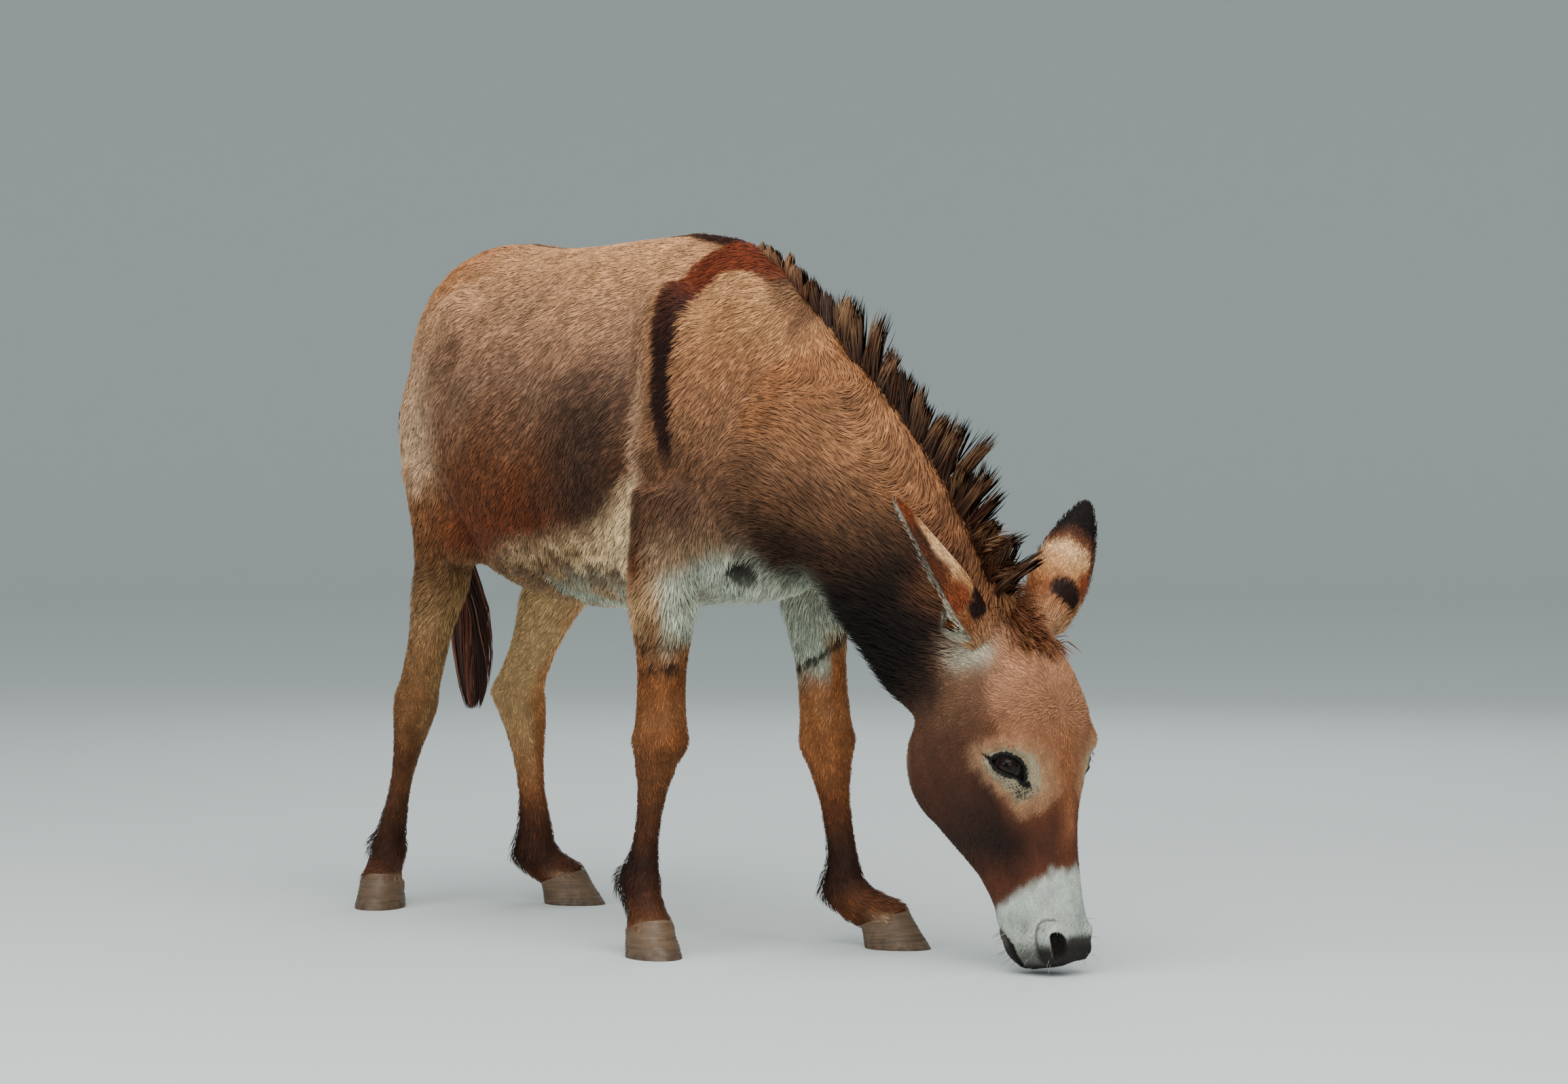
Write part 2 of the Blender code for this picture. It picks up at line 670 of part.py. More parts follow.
def fused(forms, collection):
    """One skin round all the forms, smoothed and brought down to the wanted fineness."""
    bm = bmesh.new()
    for form in forms.objects:
        bm.from_mesh(form.data)
    flesh = new_object("flesh", bm, collection)
    remesh = flesh.modifiers.new("fuse", "REMESH")
    remesh.mode = "VOXEL"
    remesh.voxel_size = FLESH_VOXEL
    smooth = flesh.modifiers.new("smooth", "SMOOTH")
    smooth.factor = 0.5
    smooth.iterations = SMOOTHING_ROUNDS
    flesh.data = made_mesh(flesh)
    thinned = flesh.modifiers.new("thin out", "DECIMATE")
    thinned.ratio = FLESH_TRIANGLES / (2 * len(flesh.data.polygons))
    flesh.data = made_mesh(flesh)
    return flesh


def loose_pieces(obj):
    """The separate closed skins of an object, each as a bmesh of its own."""
    whole = bmesh.new()
    whole.from_mesh(obj.data)
    whole.verts.ensure_lookup_table()
    group_of = {}
    for start in whole.verts:
        if start in group_of:
            continue
        group_of[start] = start.index
        front = [start]
        while front:
            for edge in front.pop().link_edges:
                for vert in edge.verts:
                    if vert not in group_of:
                        group_of[vert] = start.index
                        front.append(vert)
    groups = sorted(set(group_of.values()))
    pieces = []
    for group in groups:
        piece = whole.copy()
        piece.verts.ensure_lookup_table()
        others = [piece.verts[vert.index] for vert in whole.verts if group_of[vert] != group]
        bmesh.ops.delete(piece, geom=others, context="VERTS")
        pieces.append(piece)
    whole.free()
    return pieces


def middle_of(bm):
    """The middle of a closed skin's faces, each weighed by its area."""
    total = sum(face.calc_area() for face in bm.faces)
    return sum((face.calc_center_median() * face.calc_area() for face in bm.faces), Vector()) / total


def part_flesh(flesh, parts):
    """Names each loose piece of the flesh by the nearest of the stated points."""
    left = dict(FLESH_PIECES)
    for piece in loose_pieces(flesh):
        middle = middle_of(piece)
        name = min(left, key=lambda each: (left[each][0] - middle).length)
        finish(new_object(name, piece, parts), left.pop(name)[1])
    if left:
        raise RuntimeError(f"the cuts left no piece for {sorted(left)}")
    bpy.data.objects.remove(flesh)


def finish(obj, look):
    """Gives a piece its material, and shades its round faces smooth."""
    material = bpy.data.materials.new(obj.name + "_colour")
    material.use_nodes = True
    shader = material.node_tree.nodes["Principled BSDF"]
    shader.inputs["Base Color"].default_value = (*look.colour, 1.0)
    shader.inputs["Roughness"].default_value = look.roughness
    shader.inputs["Metallic"].default_value = 0.0
    obj.data.materials.clear()
    obj.data.materials.append(material)
    obj.data.shade_smooth()
    obj.data.set_sharp_from_angle(angle=math.radians(SHARP_ANGLE_DEG))


def stand_on_origin(parts):
    """Moves the whole model, so that the middle of its bounding box is over the origin."""
    points = [vert.co for obj in parts.objects for vert in obj.data.vertices]
    middle_x = (min(point.x for point in points) + max(point.x for point in points)) / 2
    middle_y = (min(point.y for point in points) + max(point.y for point in points)) / 2
    for obj in parts.objects:
        obj.data.transform(Matrix.Translation((-middle_x, -middle_y, 0)))


def main():
    clear_scene()
    parts = new_collection("grazing_donkey")
    forms = new_collection("forms")
    cutters = new_collection("cutters")

    trunk(forms)
    neck(forms)
    head(forms)
    for name in LEGS:
        leg_form(name, forms)
    tail(forms)
    flesh = fused(forms, parts)

    # The mane, ears and eyes are set into the flesh, each in a seat a little larger than it.
    mane_seat = grown(mane_slices(), GAP)
    take_away(flesh, loft("mane_seat", mane_seat, cutters, points=10, steps=2))
    for name in EAR_PLACES:
        ear_seat = grown(ear_slices(name, EAR_SHAPE), GAP)
        take_away(flesh, loft(name + "_seat", ear_seat, cutters, points=12, steps=2))
    for name, middle in EYE_PLACES.items():
        radius = EYE_RADIUS + GAP
        take_away(flesh, ball(name + "_seat", middle, (radius, radius, radius), cutters, fineness=8))
    for name, leg in LEGS.items():
        take_away(flesh, foot_cutter(name + "_foot", leg, cutters))
    for name, where in THIN_CUTS.items():
        take_away(flesh, slab(name + "_cut", where.middle, where.normal, where.size, GAP, cutters))
    part_flesh(flesh, parts)

    finish(loft("mane", mane_slices(), parts, points=10, steps=2), DARK_HAIR)
    for name in EAR_PLACES:
        finish(ear(name, parts, cutters), TAN)
    for name, middle in EYE_PLACES.items():
        finish(ball(name, middle, (EYE_RADIUS, EYE_RADIUS, EYE_RADIUS), parts, fineness=8), EYE_LOOK)
    for name, leg in LEGS.items():
        hoof_name = name.replace("foreleg", "hoof_front").replace("hindleg", "hoof_rear")
        finish(hoof(hoof_name, leg, parts), HORN)

    for helper in (forms, cutters):
        for obj in list(helper.objects):
            bpy.data.objects.remove(obj)
        bpy.data.collections.remove(helper)
    stand_on_origin(parts)


main()
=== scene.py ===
"""Looks of the grazing donkey: skin, coat, mane, tail, eyes, hooves and stage.

Units are metres and +Z is up. The donkey faces -Y, so +X is its left side. Places are written
as (side, forward, up), measured from the ground under the middle of the body, and every
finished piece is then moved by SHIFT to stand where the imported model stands.
"""

import json
import math
from collections import namedtuple

import bmesh
import bpy
import numpy as np
from mathutils import Matrix, Vector
from mathutils.kdtree import KDTree

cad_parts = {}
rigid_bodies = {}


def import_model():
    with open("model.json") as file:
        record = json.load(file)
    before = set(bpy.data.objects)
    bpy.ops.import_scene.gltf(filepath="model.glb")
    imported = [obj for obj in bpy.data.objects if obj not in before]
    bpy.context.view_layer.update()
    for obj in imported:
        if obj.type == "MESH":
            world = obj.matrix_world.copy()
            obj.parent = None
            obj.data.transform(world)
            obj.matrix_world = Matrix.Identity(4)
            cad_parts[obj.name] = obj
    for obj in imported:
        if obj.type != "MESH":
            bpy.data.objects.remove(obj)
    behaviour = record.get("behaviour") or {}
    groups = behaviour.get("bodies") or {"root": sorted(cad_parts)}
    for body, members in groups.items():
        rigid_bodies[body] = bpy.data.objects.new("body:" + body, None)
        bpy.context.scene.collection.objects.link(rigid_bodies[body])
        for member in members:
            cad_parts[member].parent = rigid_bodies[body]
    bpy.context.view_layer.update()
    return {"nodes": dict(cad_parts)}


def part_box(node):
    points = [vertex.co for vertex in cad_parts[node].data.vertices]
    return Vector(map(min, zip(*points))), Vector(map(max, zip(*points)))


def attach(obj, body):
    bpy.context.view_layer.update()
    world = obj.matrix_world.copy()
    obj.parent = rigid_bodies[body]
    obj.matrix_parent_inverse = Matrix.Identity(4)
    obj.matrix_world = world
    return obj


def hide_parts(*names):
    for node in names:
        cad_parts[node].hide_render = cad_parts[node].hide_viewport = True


for startup_object in list(bpy.data.objects):
    bpy.data.objects.remove(startup_object)
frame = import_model()

bl_info = {
    "name": "Grazing donkey looks",
    "version": (1, 0, 0),
    "blender": (4, 5, 0),
    "location": "3D View > Sidebar > Donkey",
    "description": "Dresses the packed donkey in skin, coat, mane and tail",
    "category": "Object",
}

HEAD_LENGTH = 0.510
EAR_LENGTH = 0.262
EYE_RADIUS = 0.022
MANE_HEIGHT = 0.074
CORONET_HEIGHT = 0.046
SKIN_VOXEL = 0.0108
SKIN_SMOOTHING = 9

# ---------------------------------------------------------------------------
# Small tools


def place(side, forward, up):
    """A point of the model, or a direction, from its side, forward and up distances."""
    return Vector((side, -forward, up))


UP = place(0, 0, 1)


def srgb(red, green, blue):
    """A linear colour from the 0 to 255 numbers of a colour chart."""
    shares = np.array((red, green, blue)) / 255
    return np.where(shares <= 0.04045, shares / 12.92, ((shares + 0.055) / 1.055) ** 2.4)


def rise(low, high, value):
    """0 below low and 1 above high, eased in between."""
    share = np.clip((value - low) / (high - low), 0, 1)
    return share * share * (3 - 2 * share)


def rich(colours, amount):
    """Colours drawn further from grey."""
    grey = column(colours @ np.array((0.25, 0.6, 0.15)))
    return np.clip(grey + (colours - grey) * amount, 0.001, 0.9)


def hill(value, middle, width):
    return np.exp(-(((value - middle) / width) ** 2))


def unit(vectors):
    return vectors / np.maximum(np.linalg.norm(vectors, axis=1, keepdims=True), 1e-9)


def dot(first, second):
    return np.einsum("ij,ij->i", first, second)


def column(values):
    return np.asarray(values)[:, None]


def mottle(points, size, seed):
    """Soft patches, from about -1 to 1, of about the given size."""
    chance = np.random.default_rng(seed)
    total = np.zeros(len(points))
    for _ in range(7):
        way = chance.normal(size=3)
        way *= 2 * math.pi / (size * chance.uniform(0.7, 2.2) * np.linalg.norm(way))
        total += np.sin(points @ way + chance.uniform(0, 2 * math.pi))
    return total / 2.6


def points_of(mesh):
    found = np.empty(len(mesh.vertices) * 3, np.float32)
    mesh.vertices.foreach_get("co", found)
    return found.reshape(-1, 3).astype(float)


def normals_of(mesh):
    found = np.empty(len(mesh.vertices) * 3, np.float32)
    mesh.vertex_normals.foreach_get("vector", found)
    return found.reshape(-1, 3).astype(float)


def put_points(mesh, points):
    mesh.vertices.foreach_set("co", points.astype(np.float32).ravel())
    mesh.update()


def put_colours(mesh, colours, name="coat"):
    layer = mesh.color_attributes.new(name, "FLOAT_COLOR", "POINT")
    filled = np.ones((len(colours), 4), np.float32)
    filled[:, :3] = colours
    layer.data.foreach_set("color", filled.ravel())


def new_object(name, bm):
    """An object holding what was modelled in a bmesh, which is freed."""
    mesh = bpy.data.meshes.new(name)
    bm.to_mesh(mesh)
    bm.free()
    obj = bpy.data.objects.new(name, mesh)
    bpy.context.scene.collection.objects.link(obj)
    return obj


def made_mesh(obj):
    """The object's mesh with its modifiers carried out."""
    graph = bpy.context.evaluated_depsgraph_get()
    mesh = bpy.data.meshes.new_from_object(obj.evaluated_get(graph))
    obj.modifiers.clear()
    return mesh


def join_meshes(name, objects):
    bm = bmesh.new()
    for obj in objects:
        bm.from_mesh(obj.data)
        bpy.data.objects.remove(obj)
    return new_object(name, bm)


def settle(obj, material, stands_for=()):
    """Puts a finished piece in its place on the model, with its material."""
    obj.data.transform(Matrix.Translation(SHIFT))
    obj.data.materials.clear()
    obj.data.materials.append(material)
    obj.data.shade_smooth()
    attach(obj, "root")
    if stands_for:
        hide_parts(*stands_for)
    return obj


# ---------------------------------------------------------------------------
# Lofts. A slice is one cross-section: an egg with a front (or top) point, a back (or bottom)
# point and a half width. waist is where it is widest, from 0 at the back to 1 at the front.
# The two squareness values are the superellipse powers of its front and back halves.

Slice = namedtuple("Slice", "front back half_width waist square_front square_back")


def cut(front, back, half_width, waist=0.5, square_front=2.0, square_back=2.0):
    return Slice(Vector(front), Vector(back), half_width, waist, square_front, square_back)


def between(values, share):
    """Catmull-Rom interpolation from the second of four values to the third."""
    a, b, c, d = values
    return b + 0.5 * share * (
        (c - a) + share * ((2 * a - 5 * b + 4 * c - d) + share * (3 * (b - c) + d - a))
    )


def smooth_slices(slices, steps):
    """The given slices with others eased in between them."""
    padded = [slices[0], *slices, slices[-1]]
    made = []
    for index in range(len(slices) - 1):
        group = padded[index : index + 4]
        for step in range(steps):
            made.append(Slice(*(between(field, step / steps) for field in zip(*group))))
    made.append(slices[-1])
    return made


def egg_point(piece, across, turn):
    """The point of a slice's outline at an angle: 90 degrees is its front, 270 its back."""
    middle = piece.back.lerp(piece.front, piece.waist)
    tall = (piece.front if math.sin(turn) >= 0 else piece.back) - middle
    power = 2 / (piece.square_front if math.sin(turn) >= 0 else piece.square_back)
    wide = math.copysign(abs(math.cos(turn)) ** power, math.cos(turn))
    high = abs(math.sin(turn)) ** power
    return middle + across * (wide * piece.half_width) + tall * high


def loft(name, slices, points=24, steps=4):
    """A closed skin through the slices, made by extruding a ring from one to the next."""
    slices = smooth_slices(slices, steps)
    middles = [piece.back.lerp(piece.front, 0.5) for piece in slices]
    bm = bmesh.new()
    turn = bm.verts.layers.float.new("turn")
    ring = bmesh.ops.create_circle(bm, cap_ends=True, segments=points, radius=1.0)["verts"]
    for vert in ring:
        vert[turn] = math.atan2(vert.co.y, vert.co.x)
    edges = list(bm.edges)
    for index, piece in enumerate(slices):
        along = middles[min(index + 1, len(slices) - 1)] - middles[max(index - 1, 0)]
        across = (piece.front - piece.back).cross(along).normalized()
        if index:
            made = bmesh.ops.extrude_edge_only(bm, edges=edges)["geom"]
            ring = {part for part in made if isinstance(part, bmesh.types.BMVert)}
            edges = [
                part
                for part in made
                if isinstance(part, bmesh.types.BMEdge) and ring.issuperset(part.verts)
            ]
        for vert in ring:
            vert.co = egg_point(piece, across, vert[turn])
    bmesh.ops.contextual_create(bm, geom=edges)
    bmesh.ops.recalc_face_normals(bm, faces=bm.faces)
    return new_object(name, bm)


def ball(name, centre, radii, turn_deg=(0, 0, 0), fineness=12):
    """A sphere stretched to three radii (side, forward, up) and turned, such as a muscle."""
    bm = bmesh.new()
    bmesh.ops.create_uvsphere(bm, u_segments=2 * fineness, v_segments=fineness, radius=1.0)
    bmesh.ops.scale(bm, vec=radii, verts=bm.verts)
    turned = Matrix.Rotation(math.radians(turn_deg[2]), 4, "Z")
    turned @= Matrix.Rotation(math.radians(turn_deg[1]), 4, "Y")
    turned @= Matrix.Rotation(math.radians(turn_deg[0]), 4, "X")
    bmesh.ops.transform(bm, matrix=Matrix.Translation(centre) @ turned, verts=bm.verts)
    return new_object(name, bm)


# ---------------------------------------------------------------------------
# Trunk and neck

TRUNK_SHAPE = (
    # forward, top, bottom, half width, waist, square top, square bottom
    (-0.574, 0.930, 0.790, 0.028, 0.50, 2.0, 2.0),
    (-0.552, 0.978, 0.720, 0.066, 0.52, 2.0, 2.1),
    (-0.500, 1.045, 0.660, 0.104, 0.55, 2.0, 2.2),
    (-0.400, 1.106, 0.612, 0.162, 0.58, 2.0, 2.2),
    (-0.290, 1.125, 0.568, 0.205, 0.56, 1.9, 2.2),
    (-0.160, 1.115, 0.540, 0.235, 0.50, 1.8, 2.1),
    (-0.020, 1.115, 0.527, 0.255, 0.45, 1.8, 2.1),
    (0.110, 1.121, 0.528, 0.245, 0.45, 1.8, 2.1),
    (0.230, 1.125, 0.538, 0.215, 0.45, 1.65, 2.1),
    (0.330, 1.118, 0.546, 0.182, 0.42, 1.5, 2.2),
    (0.420, 1.096, 0.550, 0.165, 0.40, 1.5, 2.3),
    (0.495, 1.040, 0.575, 0.138, 0.42, 1.7, 2.2),
    (0.540, 0.920, 0.650, 0.080, 0.45, 2.0, 2.0),
)
TRUNK_MUSCLES = (
    # name, centre and radii (side, forward, up), pitch in degrees; each stands on both sides
    ("shoulder", (0.110, 0.370, 0.840), (0.062, 0.110, 0.215), -18),
    ("upper_arm", (0.125, 0.395, 0.680), (0.058, 0.100, 0.090), 20),
    ("elbow", (0.150, 0.310, 0.640), (0.042, 0.050, 0.070), 0),
    ("haunch", (0.103, -0.345, 0.820), (0.082, 0.132, 0.185), 12),
    ("hip_bone", (0.160, -0.215, 0.985), (0.040, 0.070, 0.058), 0),
    ("stifle", (0.150, -0.245, 0.665), (0.044, 0.058, 0.080), -15),
)
NECK_SHAPE = (
    # crest (side, forward, up), throat (side, forward, up), half width
    ((0.000, 0.360, 1.110), (0.000, 0.430, 0.590), 0.115),
    ((0.000, 0.450, 1.085), (0.004, 0.500, 0.590), 0.124),
    ((0.015, 0.540, 1.016), (0.020, 0.535, 0.590), 0.110),
    ((0.045, 0.615, 0.932), (0.045, 0.560, 0.545), 0.095),
    ((0.090, 0.690, 0.836), (0.080, 0.590, 0.488), 0.084),
    ((0.133, 0.752, 0.725), (0.115, 0.615, 0.424), 0.077),
    ((0.158, 0.795, 0.636), (0.145, 0.660, 0.365), 0.071),
    ((0.172, 0.822, 0.570), (0.165, 0.720, 0.345), 0.066),
)


def trunk():
    """Rump, barrel, girth and chest, as upright slices from the buttocks forward."""
    slices = [
        cut(place(0, forward, top), place(0, forward, bottom), *rest)
        for forward, top, bottom, *rest in TRUNK_SHAPE
    ]
    loft("trunk_form", slices)
    for side in (-1, 1):
        for name, (out, forward, up), radii, pitch_deg in TRUNK_MUSCLES:
            ball(name, place(side * out, forward, up), radii, (pitch_deg, 0, 0))


def neck():
    """From the withers down and round to the poll, each slice from crest to throat."""
    slices = [
        cut(place(*crest), place(*throat), half_width, 0.42, 1.65, 2.1)
        for crest, throat, half_width in NECK_SHAPE
    ]
    loft("neck_form", slices)


# ---------------------------------------------------------------------------
# The head. Its places are (side, front, level): front is measured out from the line of the
# nose, and level runs from 0 at the poll to 1 at the lips.

EYES_ON_NOSE_LINE = place(0.225, 0.912, 0.302)
HEAD_YAW_DEG = 16.0
NOSE_SLOPE_DEG = 5.5
EYE_LEVEL = 0.43

HEAD_LEFT = place(math.cos(math.radians(HEAD_YAW_DEG)), -math.sin(math.radians(HEAD_YAW_DEG)), 0)
HEAD_AHEAD = place(math.sin(math.radians(HEAD_YAW_DEG)), math.cos(math.radians(HEAD_YAW_DEG)), 0)
FACE_DOWN = HEAD_AHEAD * math.sin(math.radians(NOSE_SLOPE_DEG)) - UP * math.cos(
    math.radians(NOSE_SLOPE_DEG)
)
FACE_FRONT = FACE_DOWN.cross(HEAD_LEFT)

HEAD_SHAPE = (
    # level, front, back, half width, waist, square front, square back
    (-0.08, -0.100, -0.170, 0.040, 0.55, 2.0, 2.0),
    (0.00, -0.056, -0.194, 0.072, 0.60, 2.0, 2.0),
    (0.10, -0.026, -0.222, 0.094, 0.66, 2.5, 2.0),
    (0.20, -0.009, -0.250, 0.107, 0.70, 2.7, 2.0),
    (0.30, 0.000, -0.270, 0.110, 0.75, 2.6, 2.1),
    (0.38, 0.000, -0.279, 0.105, 0.77, 2.2, 2.1),
    (0.46, -0.001, -0.278, 0.094, 0.75, 1.9, 2.1),
    (0.54, -0.002, -0.260, 0.076, 0.68, 1.8, 2.1),
    (0.62, -0.003, -0.226, 0.062, 0.62, 1.8, 2.0),
    (0.70, -0.003, -0.188, 0.053, 0.58, 1.9, 2.0),
    (0.78, -0.003, -0.160, 0.050, 0.55, 2.1, 2.1),
    (0.86, -0.003, -0.146, 0.053, 0.56, 2.3, 2.2),
    (0.93, -0.007, -0.138, 0.053, 0.56, 2.4, 2.2),
    (0.97, -0.018, -0.124, 0.046, 0.54, 2.3, 2.2),
    (0.995, -0.044, -0.106, 0.028, 0.52, 2.1, 2.1),
)
HEAD_MUSCLES = (
    # name, centre (side, front, level), radii (side, forward, up); each stands on both sides
    ("cheek", (0.046, -0.186, 0.38), (0.034, 0.086, 0.100)),
    ("brow", (0.082, -0.040, 0.342), (0.028, 0.032, 0.036)),
    ("facial_crest", (0.062, -0.070, 0.52), (0.018, 0.030, 0.060)),
    ("nostril", (0.033, -0.034, 0.915), (0.022, 0.030, 0.036)),
)


def head_place(side, front, level):
    """A point of the head from its own measures."""
    down = (level - EYE_LEVEL) * HEAD_LENGTH
    return EYES_ON_NOSE_LINE + HEAD_LEFT * side + FACE_FRONT * front + FACE_DOWN * down


def head():
    slices = [
        cut(head_place(0, front, level), head_place(0, back, level), *rest)
        for level, front, back, *rest in HEAD_SHAPE
    ]
    loft("head_form", slices)
    turned = (0, 0, HEAD_YAW_DEG)
    for side in (-1, 1):
        for name, (out, front, level), radii in HEAD_MUSCLES:
            ball(name, head_place(side * out, front, level), radii, turned)
    ball("chin", head_place(0, -0.116, 0.915), (0.036, 0.024, 0.030), turned)


EYE_PLACES = {
    "eye_right": head_place(-0.083, -0.050, 0.393),
    "eye_left": head_place(0.083, -0.050, 0.393),
}

# ---------------------------------------------------------------------------
# Ears: cupped leaves, held out to the sides with their openings turned outwards and back.

EAR_PLACES = {
    # base (side, front, level), lean of the ear (out, back, up)
    "ear_right": (-1, head_place(-0.062, -0.104, 0.015), (0.148, 0.030, 0.195)),
    "ear_left": (1, head_place(0.070, -0.086, -0.005), (0.182, 0.046, 0.186)),
}
EAR_SHAPE = (
    # share of the length, half width, depth of the cup
    (-0.10, 0.018, 0.034),
    (0.02, 0.027, 0.050),
    (0.18, 0.039, 0.068),
    (0.38, 0.045, 0.066),
    (0.58, 0.041, 0.050),
    (0.76, 0.032, 0.034),
    (0.90, 0.021, 0.021),
    (1.00, 0.008, 0.008),
)
EAR_WALL = 0.007
EAR_HOLLOW_FROM = 0.10  # share of the length where the cup starts


def ear_slices(name, shape, towards_opening=0.0):
    side, base, lean = EAR_PLACES[name]
    out, back, up = lean
    axis = (HEAD_LEFT * side * out - HEAD_AHEAD * back + UP * up).normalized()
    opening = HEAD_LEFT * side * 0.72 - HEAD_AHEAD * 0.62
    opening = (opening - axis * opening.dot(axis)).normalized()
    slices = []
    for share, half_width, depth in shape:
        middle = base + axis * share * EAR_LENGTH + opening * towards_opening
        half_depth = opening * depth / 2
        slices.append(cut(middle + half_depth, middle - half_depth, half_width, 0.62))
    return slices


# ---------------------------------------------------------------------------
# Legs. Each runs through four joints and then a pastern. A leg's slices are stated along its
# bones, with how far the flesh stands before and behind the bone, and half its width.

Leg = namedtuple("Leg", "side joints toe_out_deg pastern_reach thigh")

# The joints of each are the shoulder or hip, the elbow or stifle, the knee or hock, and the fetlock.
LEGS = {
    "foreleg_right": Leg(
        side=-1,
        joints=[
            place(-0.140, 0.375, 0.720),
            place(-0.150, 0.376, 0.615),
            place(-0.155, 0.372, 0.337),
            place(-0.156, 0.320, 0.116),
        ],
        toe_out_deg=12.0,
        pastern_reach=0.034,
        thigh=1.0,
    ),
    "foreleg_left": Leg(
        side=1,
        joints=[
            place(0.138, 0.350, 0.720),
            place(0.146, 0.344, 0.615),
            place(0.158, 0.370, 0.325),
            place(0.176, 0.410, 0.086),
        ],
        toe_out_deg=28.0,
        pastern_reach=0.060,
        thigh=1.0,
    ),
    "hindleg_right": Leg(
        side=-1,
        joints=[
            place(-0.132, -0.295, 0.750),
            place(-0.138, -0.305, 0.600),
            place(-0.130, -0.434, 0.355),
            place(-0.130, -0.534, 0.094),
        ],
        toe_out_deg=42.0,
        pastern_reach=0.046,
        thigh=0.62,
    ),
    "hindleg_left": Leg(
        side=1,
        joints=[
            place(0.120, -0.285, 0.750),
            place(0.116, -0.305, 0.600),
            place(0.103, -0.484, 0.357),
            place(0.098, -0.404, 0.084),
        ],
        toe_out_deg=32.0,
        pastern_reach=0.040,
        thigh=1.0,
    ),
}

FORELEG_SHAPE = (
    # bone, share along it, front, back, half width
    (0, 0.00, 0.085, 0.085, 0.056),
    (1, 0.00, 0.068, 0.072, 0.053),
    (1, 0.30, 0.052, 0.054, 0.046),
    (1, 0.62, 0.042, 0.042, 0.037),
    (1, 0.84, 0.042, 0.042, 0.038),
    (1, 1.00, 0.044, 0.044, 0.042),
    (2, 0.16, 0.037, 0.043, 0.037),
    (2, 0.32, 0.026, 0.034, 0.026),
    (2, 0.58, 0.023, 0.031, 0.020),
    (2, 0.82, 0.024, 0.034, 0.022),
    (2, 1.00, 0.033, 0.050, 0.031),
)
HINDLEG_SHAPE = (
    (0, 0.00, 0.125, 0.140, 0.070),
    (1, 0.00, 0.080, 0.105, 0.060),
    (1, 0.35, 0.050, 0.080, 0.046),
    (1, 0.68, 0.037, 0.062, 0.034),
    (1, 0.90, 0.040, 0.060, 0.034),
    (2, 0.00, 0.047, 0.060, 0.037),
    (2, 0.14, 0.044, 0.048, 0.034),
    (2, 0.30, 0.035, 0.037, 0.026),
    (2, 0.55, 0.025, 0.032, 0.020),
    (2, 0.82, 0.026, 0.038, 0.023),
    (2, 1.00, 0.032, 0.054, 0.030),
)
PASTERN_SHAPE = (
    # share of the way to the coronet, front, back, half width
    (0.35, 0.030, 0.044, 0.029),
    (0.70, 0.031, 0.034, 0.029),
    (1.00, 0.038, 0.038, 0.036),
    (1.30, 0.040, 0.038, 0.038),
)
HOOF_SHAPE = (
    # share of the height, toe, heel, half width
    (0.00, 0.068, 0.040, 0.042),
    (0.12, 0.064, 0.040, 0.042),
    (0.50, 0.051, 0.038, 0.039),
    (1.00, 0.039, 0.037, 0.0365),
)
CORONET_SLOPE = 0.34  # how much higher the coronet is in front than behind, for its length


def toe_direction(leg):
    angle = math.radians(leg.toe_out_deg) * leg.side
    return place(math.sin(angle), math.cos(angle), 0)


def coronet_middle(leg):
    """The middle of the hoof's upper rim, below and in front of the fetlock."""
    fetlock = leg.joints[-1]
    return Vector((fetlock.x, fetlock.y, CORONET_HEIGHT)) + toe_direction(leg) * leg.pastern_reach


def leg_form(name):
    leg = LEGS[name]
    toe = toe_direction(leg)
    slices = []
    for bone, share, front, back, half_width in FORELEG_SHAPE if "fore" in name else HINDLEG_SHAPE:
        middle = leg.joints[bone].lerp(leg.joints[bone + 1], share)
        # The leg's front turns from straight ahead at the top to the toe's way at the foot.
        ahead = place(0, 1, 0).lerp(toe, (bone + share) / 3).normalized()
        # The right stifle, drawn back under the belly, is slimmer than the left.
        slim = leg.thigh if bone == 1 and share < 0.5 else 1.0
        half_width *= (1 + slim) / 2
        slices.append(cut(middle + ahead * front * slim, middle - ahead * back, half_width))
    fetlock, coronet = leg.joints[-1], coronet_middle(leg)
    down = (coronet - fetlock).normalized()
    ahead = (toe - down * toe.dot(down)).normalized()
    for share, front, back, half_width in PASTERN_SHAPE:
        middle = fetlock.lerp(coronet, share)
        slices.append(cut(middle + ahead * front, middle - ahead * back, half_width))
    loft(name + "_form", slices, points=20)


# ---------------------------------------------------------------------------
# Mane and tail

